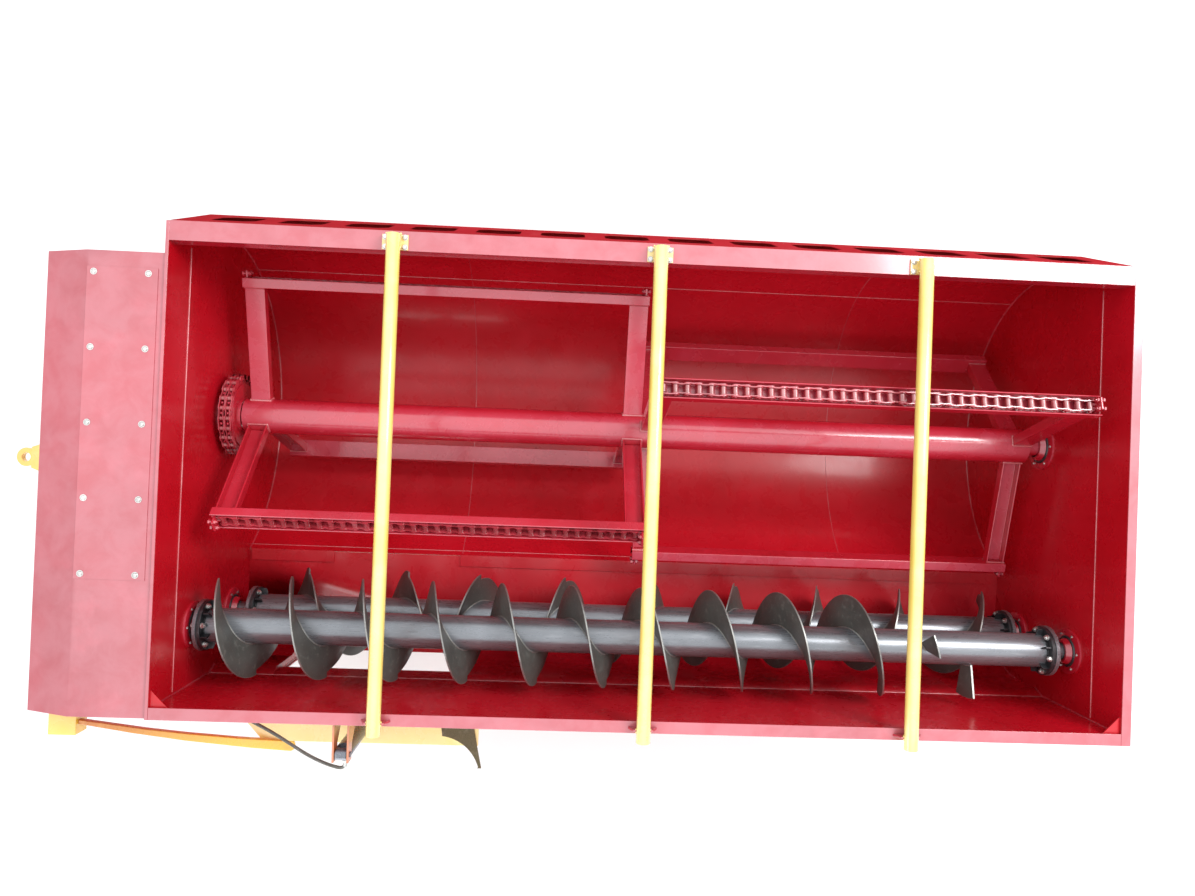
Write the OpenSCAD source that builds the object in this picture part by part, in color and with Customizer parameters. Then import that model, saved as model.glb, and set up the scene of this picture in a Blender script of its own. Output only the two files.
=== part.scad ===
// Trailed feed mixer wagon: an open tub with a slow reel and two augers, a side discharge
// door under a hood, a chain drive under the front cover and a single-axle chassis.
// X runs along the tub towards its rear end, Y towards the reel side, Z up from the ground.
// Sections are drawn with Y measured from the reel axis and extruded along X, and every
// sub-part is then placed so that the origin is the middle of the machine on the ground.

/* [Tub] */
// Inside length of the tub between the end walls
tub_l = 4000; // [3960:10:4100]
// Height of the rim above the ground
rim_h = 2150; // [2140:10:2250]
// Thickness of the tub sheets
sheet = 6; // [5:0.5:7]
// Inside radius of the reel trough
trough_r = 817; // [810:1:830]
// Width of the front rim flange
front_rim_w = 50; // [44:1:60]
// Side of the box section along the back rim
back_rim_w = 80; // [70:1:86]
// Depth of the sloped panel along the back
panel_h = 406; // [380:1:430]
// Outer radius of a cross bar
bar_r = 29; // [26:0.5:32]

/* [Reel] */
// Outer radius of the reel tube
reel_tube_r = 84; // [78:1:90]
// Radius at the web of the bats
bat_r = 613; // [590:1:620]
// Width of a bat channel
bat_w = 90; // [84:1:96]
// Depth of a bat channel
bat_h = 45; // [40:1:50]

/* [Augers] */
// Outer radius of the upper flight
upper_r = 226; // [215:1:232]
// Pitch of the upper flight
upper_pitch = 316; // [300:1:340]
// Outer radius of the lower flight
lower_r = 214; // [205:1:218]
// Pitch of the lower flight
lower_pitch = 427; // [400:1:440]
// Outer radius of both auger tubes
auger_tube_r = 76; // [70:1:80]
// Gap between the lower flight and its trough
auger_gap = 18; // [14:1:24]
// Thickness of the flights
flight_t = 8; // [6:0.5:10]

/* [Door] */
// Clear width of the discharge opening
door_w = 830; // [780:1:850]
// Travel of the sliding door
door_travel = 330; // [300:1:332]

/* [Running gear] */
// Outer radius of a tyre
tyre_r = 380; // [370:1:385]
// Width of a tyre
tyre_w = 264; // [240:1:280]
// Distance between the wheel centres
track = 1700; // [1660:10:1750]
// Radius of the hole in the tow eye
eye_hole_r = 25; // [20:0.5:27]
// Radius of the input shaft
pto_r = 17.5; // [15:0.1:20]

/* [Hidden] */
$fn = 64;

// Colours
red = [0.68, 0.07, 0.10];
yellow = [0.95, 0.75, 0.10];
steel = [0.30, 0.31, 0.33];
zinc = [0.78, 0.78, 0.76];

// Running clearances
fit = 0.05; // between a shaft and its bearing, on the radius
clear = 0.4; // between a bolt and its hole, on the radius

// Tub section: heights are depths below the rim
half_l = tub_l / 2;
wall_out = half_l + sheet;
front_end = -half_l;
rim_t = 5;
reel_d = 688;
reel_z = rim_h - reel_d;
trough_y = 30;
front_in = -1218;
front_out = front_in - sheet;
back_in = 672;
back_out = back_in + back_rim_w;
bend_z = rim_h - 607;
knee_z = rim_h - 672;
upper_y = -952;
upper_z = rim_h - 403;
lower_y = -960;
lower_z = rim_h - 871;
auger_trough_r = lower_r + auger_gap;
knee_y = lower_y - auger_trough_r;
floor_z = lower_z - auger_trough_r;
cusp_y = -681;
cusp_z = reel_z - sqrt(trough_r * trough_r - pow(cusp_y - trough_y, 2));
cusp_a = 180 + asin((reel_z - cusp_z) / trough_r);
floor_run = [cusp_y - lower_y, cusp_z - floor_z];
floor_dir = floor_run / norm(floor_run);
back_top = [back_out - sheet - 1, rim_h - back_rim_w - 1.2];
back_run = [back_top[0] - trough_y, back_top[1] - reel_z];
back_a = 360 + atan2(back_run[1], back_run[0]) - acos(trough_r / norm(back_run));
panel_out = 888;
panel_t = 4;
strip_gap = [front_end + 440, front_end + 1100];
strip_w = 60;

// Cross bars
bar_x = [front_end + 907, -10, half_l - 911];
bar_z = rim_h + 47;
bar_y0 = -1285;
bar_y1 = 730;
bracket_y = 704;
bracket_bolt = [40, 20];
bolt_r = 6;

// Door, hood and cylinder
door_x = front_end + 712;
door_x0 = door_x - door_w / 2;
door_x1 = door_x + door_w / 2;
door_top = rim_h - 765;
door_h = 370;
door_lap = 25;
jamb_top = bend_z - (sheet + 0.3) * norm([knee_y - front_in, bend_z - knee_z]) / (knee_y - front_in);
door_t = 8;
door_y = front_out - 2;
guide_w = 45;
guide_y = front_out - 14;
cyl_x = door_x + 48;
cyl_y = front_out - 176;
hood_y = cyl_y - 70;
hood_z = rim_h - 430;
hood_t = 5;
hood_drop = 450;
hood_wing = door_x1 + 161;
flap_x = hood_wing - 177;
hood_plan = [[door_x0 - guide_w, guide_y - 8], [door_x0 - guide_w, hood_y + 75],
             [door_x0 + 23, hood_y], [door_x1 + guide_w, hood_y],
             [door_x1 + guide_w, guide_y - 8]];
cyl_pin_z = rim_h - 70;
cyl_top_z = rim_h - 108;
cyl_bottom_z = rim_h - 490;
rod_r = 17.5;
bore_r = 27;
pin_r = 12;
lug_pin_z = rim_h - 540;
hose_r = 7;
hose_route = [[-1240, -1447, 2012], [-1240, -1458, 2012], [-1243, -1470, 2008],
              [-1251, -1480, 2003], [-1264, -1485, 1996], [-1285, -1485, 1987],
              [-1315, -1481, 1977], [-1350, -1472, 1968], [-1390, -1457, 1962],
              [-1430, -1436, 1961], [-1470, -1410, 1965], [-1510, -1381, 1974],
              [-1548, -1352, 1987], [-1584, -1325, 2003], [-1615, -1302, 2019],
              [-1642, -1283, 2033], [-1662, -1269, 2042], [-1676, -1259, 2047],
              [-1684, -1250, 2049], [-1687, -1240, 2050], [-1687, -1232, 2050]];

// Support arm and its bracket
arm_w = [9, 23];
arm_block = [[front_end - 480, -1383, rim_h - 255], [front_end - 366, -1258, rim_h - 165]];
arm_from = [front_end - 380, -1328, rim_h - 192];
arm_to = [door_x - 272, hood_y - arm_w[1], rim_h - 446];
arm_sag = 14;
arm_t = 30;

// Drive cover and drive
cover_top = rim_h - 12;
cover_fold_x = front_end - 325;
cover_x = front_end - 520;
cover_edge_z = rim_h - 85;
cover_bottom = rim_h - 1500;
cover_y = [-1258, 621];
cover_t = 4;
panel_x = [front_end - 322, front_end - 40];
panel_y = [-705, 555];
panel_bolt_x = [panel_x[0] + 27, panel_x[1] - 38];
panel_bolt_y = [533, 228, -76, -380, -684];
gear_x = front_end - 340;
gear_y = -260;
gear_z = rim_h - 1250;
reel_plane = [front_end - 112, front_end - 96];
auger_plane = [front_end - 182, front_end - 166];
reel_sprocket_r = 395;
pinion_r = 88;
auger_drive_r = 100;
auger_sprocket_r = 138;
chain_t = 18;
chain_gap = 1.2;
reel_stub_r = 45;
auger_stub_r = 35;
drive_shaft_r = 30;
input_r = pto_r + 7.5;
housing_l = 60;

// Reel
spider_x = [front_end + 175, -50, 35, half_l - 145];
left_angles = [163.6, 43.6, 283.6];
right_angles = [104.5, 224.5, -15.5];
arm_depth = 45;
arm_web = 8;
chain_w = 62;
chain_h = 40;
anchor_t = 10;
coupling_x = [front_end + 30, front_end + 92];
coupling_r = 196;

// Auger ends
upper_ends = [front_end + 38, half_l - 99];
lower_ends = [front_end + 101, half_l - 56];
flange_r = 114;
flange_t = 18;
flange_pcd = 90;
rib_l = 32;
paddle_x = [half_l - 726, half_l - 496];
feed_pitch = 490;
upper_turn = 360 * (half_l - 880.4 - front_end - 122) / upper_pitch;
lower_turn = 360 * (half_l - 141.6944 - front_end - 1237) / lower_pitch;

// Running gear
centre_y = -260;
rail_off = 350;
rail_w = 80;
rail_z = [tyre_r + 90, tyre_r + 220];
rail_x = [front_end - 560, half_l - 100];
cradle_x = [front_end + 150, front_end + 1300, half_l - 1550, half_l - 400];
axle_x = half_l - 1600;
axle_w = 90;
axle_r = 30;
rim_in_r = 190;
eye_x = front_end - 1490;
eye_r = eye_hole_r + 29;
eye_z = rail_z[0] + 30;
nose_x = eye_x + 65;
jack_x = front_end - 1000;
jack_y = centre_y - 262;
jack_w = 70;
jack_z = rail_z[0] - 140;

// Size of the whole machine, for the origin
x_min = eye_x - eye_r;
x_max = wall_out + housing_l;
y_min = -1568;
y_max = panel_out;

function polar(c, r, a) = [c[0] + r * cos(a), c[1] + r * sin(a)];

module place() translate([-(x_min + x_max) / 2, -(y_min + y_max) / 2, 0]) children();

// A (Y, Z) section swept along X
module along_x(x0, x1) translate([x0, 0, 0]) rotate([90, 0, 90]) linear_extrude(x1 - x0) children();

// An (X, Z) section swept along Y
module along_y(y0, y1) translate([0, y1, 0]) rotate([90, 0, 0]) linear_extrude(y1 - y0) children();

module box(a, b) translate(a) cube(b - a);

module rod_x(x0, x1, y, z, r) translate([x0, y, z]) rotate([0, 90, 0]) cylinder(h = x1 - x0, r = r);

module rod_y(y0, y1, x, z, r) translate([x, y0, z]) rotate([-90, 0, 0]) cylinder(h = y1 - y0, r = r);

// A sheet seen edge on from p to q, with its thickness on the right-hand side
module strip(p, q, t) {
    u = (q - p) / norm(q - p);
    n = [u[1], -u[0]] * t;
    polygon([p, q, q + n, p + n]);
}

// A curved sheet seen edge on, outside radius r, from angle a0 to a1
module arc_sheet(c, r, t, a0, a1) intersection() {
    difference() {
        translate(c) circle(r + t, $fn = 128);
        translate(c) circle(r, $fn = 128);
    }
    polygon(concat([c], [for (i = [0:12]) polar(c, 1.3 * r, a0 + (a1 - a0) * i / 12)]));
}

// Outline of the two troughs grown by t, for the end walls and the cradles
module tub_outline(t) {
    translate([trough_y, reel_z]) circle(trough_r + t, $fn = 128);
    translate([lower_y, lower_z]) circle(auger_trough_r + t, $fn = 96);
    polygon([[lower_y, lower_z], [lower_y, floor_z - t], [cusp_y, cusp_z - t], [trough_y, reel_z]]);
}

module end_outline() {
    grow = sheet + 10;
    intersection() {
        tub_outline(grow);
        translate([front_out, 0]) square([panel_out - front_out, rim_h - rim_t]);
    }
    polygon([[front_out, rim_h - rim_t], [front_out, bend_z - 3], [knee_y - grow, knee_z],
             [knee_y - grow, lower_z], [lower_y, lower_z], [trough_y, reel_z],
             polar([trough_y, reel_z], trough_r + grow, back_a), [panel_out, rim_h - panel_h],
             [back_out, rim_h - rim_t]]);
}

// The tub

module reel_trough() color(red) place()
    along_x(-half_l, half_l) arc_sheet([trough_y, reel_z], trough_r, sheet, cusp_a, back_a);

module auger_trough() color(red) place() {
    axis = [lower_y, lower_z];
    difference() {
        along_x(-half_l, half_l) {
            strip([front_in, bend_z], [knee_y, knee_z], sheet);
            strip([knee_y, knee_z], [knee_y, lower_z], sheet);
            arc_sheet(axis, auger_trough_r, sheet, 180, 270);
            strip([lower_y, floor_z], [cusp_y, cusp_z] - floor_dir * sheet, sheet);
        }
        box([door_x0, front_in - 60, floor_z - 20], [door_x1, lower_y, bend_z + 20]);
    }
}

module back_wall() color(red) place()
    along_x(-half_l, half_l)
        strip(polar([trough_y, reel_z], trough_r, back_a), back_top, sheet);

module front_wall() color(red) place() {
    box([-half_l, front_out, bend_z], [half_l, front_in, rim_h - rim_t]);
    box([door_x0, front_out, door_top], [door_x1, front_in, bend_z]);
}

module end_wall(x0) difference() {
    along_x(x0, x0 + sheet) end_outline();
    rod_x(x0 - 1, x0 + sheet + 1, 0, reel_z, reel_stub_r + 5);
    rod_x(x0 - 1, x0 + sheet + 1, upper_y, upper_z, auger_stub_r + 5);
    rod_x(x0 - 1, x0 + sheet + 1, lower_y, lower_z, auger_stub_r + 5);
}

module left_end_wall() color(red) place() end_wall(-wall_out);

module right_end_wall() color(red) place() end_wall(half_l);

module front_rim() color(red) place() {
    inner = front_in + 7;
    box([-half_l, inner - front_rim_w, rim_h - rim_t], [half_l, inner, rim_h]);
    box([-half_l, inner - front_rim_w, rim_h - 30], [half_l, inner - front_rim_w + 6, rim_h - rim_t]);
}

module bracket_holes(r, z0, z1) for (x = bar_x, i = [-1, 1], j = [-1, 1])
    translate([x + i * bracket_bolt[0], bracket_y + j * bracket_bolt[1], z0])
        cylinder(h = z1 - z0, r = r, $fn = 24);

module back_rim() color(red) place() difference() {
    box([-half_l, back_in, rim_h - back_rim_w], [half_l, back_out, rim_h]);
    box([-half_l - 1, back_in + 4, rim_h - back_rim_w + 4], [half_l + 1, back_out - 4, rim_h - 4]);
    bracket_holes(bolt_r + clear, rim_h - 20, rim_h + 1);
}

module end_rims() color(red) place() {
    y0 = front_in + 7 - front_rim_w;
    box([-half_l - 14, y0, rim_h - rim_t], [-half_l, back_out, rim_h]);
    box([half_l, y0, rim_h - rim_t], [half_l + 41, back_out, rim_h]);
    box([half_l + 36, y0, rim_h - 30], [half_l + 41, back_out, rim_h - rim_t]);
}

module panel_window(w, h, c) polygon([[c - w / 2, 0], [w / 2 - c, 0], [w / 2, c], [w / 2, h - c],
                                      [w / 2 - c, h], [c - w / 2, h], [-w / 2, h - c], [-w / 2, c]]);

module back_panel() color(red) place() {
    top = [back_out + 4, rim_h - 10];
    foot = [panel_out, rim_h - panel_h];
    run = norm(foot - top);
    lean = atan2(foot[0] - top[0], top[1] - foot[1]);
    difference() {
        along_x(-half_l, half_l) strip(top, foot, panel_t);
        for (i = [0:13])
            translate([277 * (i - 6.5), top[0], top[1]]) rotate([lean, 0, 0])
                translate([0, 30, 0]) rotate([90, 0, 0]) linear_extrude(60)
                    translate([0, -run + 90]) panel_window(190, 240, 34);
    }
    // Ledge that closes the panel's foot to the back wall
    wall_foot = polar([trough_y, reel_z], trough_r, back_a);
    wall = back_top - wall_foot;
    ledge = wall_foot[0] + (foot[1] - wall_foot[1]) * wall[0] / wall[1] + sheet * norm(wall) / wall[1] + 0.3;
    box([-half_l, ledge, foot[1]], [half_l, panel_out - 2, foot[1] + panel_t]);
}

module corner_gussets() color(red) place() for (s = [-1, 1])
    translate([0, 0, rim_h - 20]) linear_extrude(6)
        polygon([[s * half_l, front_in], [s * (half_l - 75), front_in], [s * half_l, front_in + 75]]);

module ridge_strips() color(red) place() {
    top = [cusp_y, cusp_z] + fit * [-floor_dir[1], floor_dir[0]];
    along_x(-half_l + 10, strip_gap[0]) strip(top, top - floor_dir * strip_w, 8);
    along_x(strip_gap[1], half_l - 10) strip(top, top - floor_dir * strip_w, 8);
}

// Cross bars

module cross_bars() color(yellow) place() for (x = bar_x) difference() {
    rod_y(bar_y0, bar_y1, x, bar_z, bar_r);
    rod_y(bar_y0 - 1, bar_y1 + 1, x, bar_z, bar_r - 4);
}

module bar_brackets() color(yellow) place() for (x = bar_x) difference() {
    union() {
        box([x - 53, bracket_y - 31, rim_h], [x + 53, bracket_y + 31, rim_h + 8]);
        box([x - 22, bracket_y - 25, rim_h + 8], [x + 22, bracket_y + 25, bar_z - bar_r + 6]);
    }
    rod_y(bracket_y - 40, bracket_y + 40, x, bar_z, bar_r);
    bracket_holes(bolt_r + clear, rim_h - 1, rim_h + 9);
}

module bracket_bolts() color(zinc) place() {
    bracket_holes(bolt_r, rim_h - 14, rim_h + 8);
    bracket_holes(bolt_r + 4, rim_h + 8, rim_h + 15);
}

module bar_saddles() color(red) place() for (x = bar_x) along_y(front_in - 25, front_in - 15) difference() {
    translate([x, rim_h]) polygon([[-60, 0], [60, 0], [40, 44], [-40, 44]]);
    translate([x, bar_z]) circle(bar_r);
}

// Discharge door

module door_jambs() color(red) place() {
    for (x = [door_x0 - sheet, door_x1]) along_x(x, x + sheet) difference() {
        polygon([[lower_y, floor_z - sheet], [front_in, floor_z - sheet], [front_in, jamb_top],
                 [knee_y - sheet, knee_z - 3], [knee_y - sheet, lower_z], [lower_y, lower_z]]);
        translate([lower_y, lower_z]) circle(auger_trough_r + sheet, $fn = 96);
    }
    for (x = [door_x0 - guide_w, door_x1])
        box([x, front_out, floor_z - sheet], [x + guide_w, front_in, jamb_top]);
    box([door_x0, front_in + 14, floor_z - sheet], [door_x1, lower_y, floor_z]);
}

module door_guides() color(red) place() for (s = [-1, 1]) translate([door_x, 0, 0]) {
    edge = door_w / 2 + door_lap + 2;
    outer = door_w / 2 + guide_w;
    z0 = floor_z - 12;
    z1 = rim_h - 380;
    x0 = s > 0 ? edge : -outer;
    lap = s > 0 ? outer - 40 : -outer;
    box([x0, guide_y, z0], [x0 + outer - edge, front_out, z1]);
    box([lap, guide_y - 8, z0], [lap + 40, guide_y, z1]);
}

module door_plate() color(red) place() {
    z0 = door_top - 10;
    box([door_x0 - door_lap, door_y - door_t, z0], [door_x1 + door_lap, door_y, z0 + door_h]);
    for (x = [cyl_x - 34, cyl_x + 22]) along_x(x, x + 12) difference() {
        polygon([[door_y - door_t, rim_h - 700], [door_y - door_t, rim_h - 512],
                 [cyl_y - 25, rim_h - 512], [cyl_y - 25, rim_h - 566]]);
        translate([cyl_y, lug_pin_z]) circle(pin_r + clear);
    }
}

module cylinder_rod() color(zinc) place() {
    difference() {
        union() {
            translate([cyl_x, cyl_y, lug_pin_z + 10]) cylinder(h = rim_h - 146 - lug_pin_z - 10, r = rod_r);
            translate([cyl_x, cyl_y, rim_h - 146]) cylinder(h = 26, r = bore_r - fit);
            rod_x(cyl_x - 20, cyl_x + 20, cyl_y, lug_pin_z, 26);
        }
        rod_x(cyl_x - 25, cyl_x + 25, cyl_y, lug_pin_z, pin_r);
    }
    rod_x(cyl_x - 38, cyl_x + 38, cyl_y, lug_pin_z, pin_r);
}

module cylinder_barrel() color(steel) place() {
    difference() {
        union() {
            translate([cyl_x, cyl_y, cyl_bottom_z]) cylinder(h = cyl_top_z - cyl_bottom_z, r = 35);
            rod_x(cyl_x - 22, cyl_x + 22, cyl_y, cyl_pin_z, 24);
            box([cyl_x - 18, cyl_y - 18, cyl_top_z - 1], [cyl_x + 18, cyl_y + 18, cyl_pin_z]);
            rod_y(cyl_y - 47, cyl_y, cyl_x, rim_h - 138, 12);
            rod_y(cyl_y - 44, cyl_y, cyl_x, cyl_bottom_z + 22, 12);
        }
        translate([cyl_x, cyl_y, cyl_bottom_z + 12])
            cylinder(h = cyl_top_z - cyl_bottom_z - 22, r = bore_r);
        translate([cyl_x, cyl_y, cyl_bottom_z - 1]) cylinder(h = 20, r = rod_r + fit);
        rod_x(cyl_x - 30, cyl_x + 30, cyl_y, cyl_pin_z, pin_r);
    }
    rod_x(cyl_x - 38, cyl_x + 38, cyl_y, cyl_pin_z, pin_r);
}

module cylinder_bracket() color([0.80, 0.33, 0.12]) place() {
    for (x = [cyl_x - 34, cyl_x + 26]) along_x(x, x + 8) difference() {
        polygon([[front_out - 8, rim_h - 36], [cyl_y - 28, rim_h - 44], [cyl_y - 28, rim_h - 100],
                 [cyl_y + 42, rim_h - 100], [front_out - 8, rim_h - 200]]);
        translate([cyl_y, cyl_pin_z]) circle(pin_r + clear);
    }
    box([cyl_x - 60, front_out - 8, rim_h - 210], [cyl_x + 60, front_out, rim_h - 36]);
    rod_y(front_out - 8, front_out, hose_route[20][0], hose_route[20][2], 14);
}

// A round tube swept along the points of a route
module tube_along(p, r, sides) {
    n = len(p);
    function tangent(i) = let(a = p[max(i - 1, 0)], b = p[min(i + 1, n - 1)]) (b - a) / norm(b - a);
    function side(i) = let(c = cross(tangent(i), [0, 0, 1])) c / norm(c);
    rings = [for (i = [0:n - 1]) let(s = side(i), u = cross(s, tangent(i)))
             for (k = [0:sides - 1]) p[i] + r * (s * cos(360 * k / sides) + u * sin(360 * k / sides))];
    sides_f = [for (i = [0:n - 2], k = [0:sides - 1]) let(k2 = (k + 1) % sides)
               [i * sides + k, i * sides + k2, (i + 1) * sides + k2, (i + 1) * sides + k]];
    polyhedron(rings, concat([[for (k = [0:sides - 1]) sides - 1 - k]], sides_f,
                             [[for (k = [0:sides - 1]) (n - 1) * sides + k]]));
}

module hydraulic_hose() color([0.35, 0.36, 0.36]) place() tube_along(hose_route, hose_r, 10);

module discharge_hood() color(yellow) place() {
    inner = [hood_plan[0] + [hood_t, 1], hood_plan[1] + [hood_t, 2], hood_plan[2] + [2, hood_t],
             hood_plan[3] + [-hood_t, hood_t], hood_plan[4] + [-hood_t, 1]];
    difference() {
        translate([0, 0, hood_z - hood_drop]) linear_extrude(hood_drop) polygon(hood_plan);
        translate([0, 0, hood_z - hood_drop - 1]) linear_extrude(hood_drop + 1 - hood_t) polygon(inner);
        translate([cyl_x, cyl_y, hood_z - 20]) cylinder(h = 40, r = 41);
    }
    box([door_x1 + guide_w, hood_y, hood_z - hood_t], [hood_wing, guide_y - 8, hood_z]);
}

module rubber_flap() color([0.27, 0.24, 0.14]) place() translate([0, 0, hood_z]) linear_extrude(10)
    difference() {
        polygon([[flap_x + 6, -1370], [flap_x + 152, -1370], [flap_x + 173, -1470],
                 [flap_x + 195, y_min], [flap_x + 169, y_min], [flap_x + 15, -1427]]);
        translate([flap_x - 6, -1622]) circle(196, $fn = 96);
    }

function arm_point(t, side) = let(w = arm_w[0] + (arm_w[1] - arm_w[0]) * t)
    [norm(arm_to - arm_from) * t, -4 * arm_sag * t * (1 - t) + side * w];

module support_arm() color([0.93, 0.58, 0.10]) place() {
    d = arm_to - arm_from;
    difference() {
        translate(arm_from) rotate([0, -asin(d[2] / norm(d)), atan2(d[1], d[0])])
            translate([0, 0, -arm_t / 2]) linear_extrude(arm_t) {
                polygon(concat([for (i = [0:16]) arm_point(i / 16, -1)],
                               [for (i = [0:16]) arm_point(1 - i / 16, 1)]));
                translate([norm(d), 0]) circle(arm_w[1]);
            }
        box(arm_block[0], arm_block[1]);
        translate([0, 0, hood_z - hood_drop]) linear_extrude(hood_drop) polygon(hood_plan);
    }
}

module arm_bracket() color(yellow) place() difference() {
    box(arm_block[0], arm_block[1]);
    box(arm_block[0] + [6, 6, -1], arm_block[1] - [6, 6, 6]);
}

// Drive cover and what it covers

module cover_profile(t) polygon([[-wall_out + 1, cover_top - t], [cover_fold_x + t / 3, cover_top - t],
    [cover_x + t, cover_edge_z - t / 2], [cover_x + t, cover_bottom - 1], [-wall_out + 1, cover_bottom - 1]]);

module panel_bolt_holes(r, z0, z1) for (x = panel_bolt_x, y = panel_bolt_y)
    translate([x, y, z0]) cylinder(h = z1 - z0, r = r, $fn = 24);

module drive_cover() color(red) place() difference() {
    along_y(cover_y[0], cover_y[1])
        polygon([[-wall_out, cover_top], [cover_fold_x, cover_top], [cover_x, cover_edge_z],
                 [cover_x, cover_bottom], [-wall_out, cover_bottom]]);
    along_y(cover_y[0] + cover_t, cover_y[1] - cover_t) cover_profile(cover_t);
    panel_bolt_holes(5.5, cover_top - 10, cover_top + 1);
    rod_x(cover_x - 1, cover_x + cover_t + 1, gear_y, gear_z, 90);
}

module inspection_panel() color(red) place() difference() {
    box([panel_x[0], panel_y[0], cover_top], [panel_x[1], panel_y[1], cover_top + 3]);
    panel_bolt_holes(5.5, cover_top - 1, cover_top + 4);
}

module panel_bolts() color(zinc) place() {
    panel_bolt_holes(5, cover_top - 12, cover_top + 3);
    panel_bolt_holes(10, cover_top + 3, cover_top + 9);
}

module housing(x0, x1, y, z, r) {
    plate = x1 > 0 ? [x0, x0 + 18] : [x1 - 18, x1];
    difference() {
        union() {
            box([plate[0], y - r - 50, z - r - 50], [plate[1], y + r + 50, z + r + 50]);
            rod_x(x0, x1, y, z, r + 28);
        }
        rod_x(x0 - 1, x1 + 1, y, z, r + fit);
    }
}

module bearing_housings() color(steel) place() {
    for (x = [-wall_out - housing_l, wall_out]) {
        housing(x, x + housing_l, 0, reel_z, reel_stub_r);
        housing(x, x + housing_l, upper_y, upper_z, auger_stub_r);
        housing(x, x + housing_l, lower_y, lower_z, auger_stub_r);
    }
    housing(-wall_out - housing_l + 10, -wall_out, gear_y, gear_z, drive_shaft_r);
}

module gearbox() color(steel) place() difference() {
    union() {
        box([gear_x - 90, gear_y - 130, gear_z - 130], [gear_x + 90, gear_y + 130, gear_z + 130]);
        rod_x(gear_x - 120, gear_x + 115, gear_y, gear_z, 75);
        for (y = [gear_y - 110, gear_y + 70])
            box([gear_x - 60, y, rail_z[1]], [gear_x + 60, y + 40, gear_z - 130]);
    }
    rod_x(gear_x + 40, gear_x + 116, gear_y, gear_z, drive_shaft_r + fit);
    rod_x(gear_x - 121, gear_x - 20, gear_y, gear_z, input_r + fit);
}

module drive_sprockets() color(steel) place() {
    rod_x(gear_x + 42, -wall_out - 4, gear_y, gear_z, drive_shaft_r);
    rod_x(reel_plane[0], reel_plane[1], gear_y, gear_z, pinion_r);
    rod_x(auger_plane[0], auger_plane[1], gear_y, gear_z, auger_drive_r);
    rod_x(reel_plane[0] - 20, reel_plane[1], gear_y, gear_z, 52);
    rod_x(auger_plane[0] - 20, auger_plane[1], gear_y, gear_z, 56);
}

module pto_shaft() color(zinc) place() {
    rod_x(gear_x - 118, gear_x - 22, gear_y, gear_z, input_r);
    rod_x(gear_x - 360, gear_x - 118, gear_y, gear_z, pto_r);
}

module reel_sprocket() color(steel) place() difference() {
    union() {
        rod_x(reel_plane[0], reel_plane[1], 0, reel_z, reel_sprocket_r);
        rod_x(reel_plane[0], reel_plane[1] + 24, 0, reel_z, 82);
    }
    rod_x(reel_plane[0] - 1, reel_plane[1] + 30, 0, reel_z, reel_stub_r);
    for (a = [30:60:330])
        translate([0, 240 * cos(a), 240 * sin(a)])
            rod_x(reel_plane[0] - 1, reel_plane[1] + 1, 0, reel_z, 80);
}

module auger_sprocket(y, z) difference() {
    union() {
        rod_x(auger_plane[0], auger_plane[1], y, z, auger_sprocket_r);
        rod_x(auger_plane[0], auger_plane[1] + 24, y, z, 62);
    }
    rod_x(auger_plane[0] - 1, auger_plane[1] + 30, y, z, auger_stub_r);
}

module upper_auger_sprocket() color(steel) place() auger_sprocket(upper_y, upper_z);

module lower_auger_sprocket() color(steel) place() auger_sprocket(lower_y, lower_z);

// A chain seen end on: a band round the discs [y, z, radius]
module chain_loop(x0, x1, discs) along_x(x0, x1) difference() {
    hull() for (d = discs) translate([d[0], d[1]]) circle(d[2] + chain_gap + chain_t, $fn = 60);
    hull() for (d = discs) translate([d[0], d[1]]) circle(d[2] + chain_gap, $fn = 60);
}

module drive_chains() color(steel) place() {
    chain_loop(reel_plane[0] - 6, reel_plane[1] + 6,
               [[0, reel_z, reel_sprocket_r], [gear_y, gear_z, pinion_r]]);
    chain_loop(auger_plane[0] - 6, auger_plane[1] + 6,
               [[upper_y, upper_z, auger_sprocket_r], [lower_y, lower_z, auger_sprocket_r],
                [gear_y, gear_z, auger_drive_r]]);
}

// Blocks on the end wall that bear on the outside of each chain
module chain_tensioners() color([0.85, 0.85, 0.82]) place() {
    reel_top = reel_z + reel_sprocket_r + chain_gap + chain_t;
    box([reel_plane[0] - 10, -30, reel_top + 0.3], [-wall_out, 30, reel_top + 40]);
    side = (upper_y + lower_y) / 2 - auger_sprocket_r - chain_gap - chain_t - 0.5;
    z = (upper_z + lower_z) / 2;
    box([auger_plane[0] - 10, side - 40, z - 13], [-wall_out, side, z + 13]);
}

// Chassis

// A cradle plate under the tub with its feet on the rails
module cradle(x) along_x(x, x + 12) difference() {
    polygon([[knee_y + 41, floor_z - 7], [centre_y - rail_off - 90, rail_z[1]],
             [centre_y + rail_off + 100, rail_z[1]], [trough_y + 610, reel_z - 602],
             [trough_y + 610, reel_z - 502], [trough_y, reel_z - 162], [knee_y + 41, lower_z - 129]]);
    tub_outline(sheet + 0.3);
    translate([centre_y, rail_z[1] - 260]) circle(300, $fn = 96);
}

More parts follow.
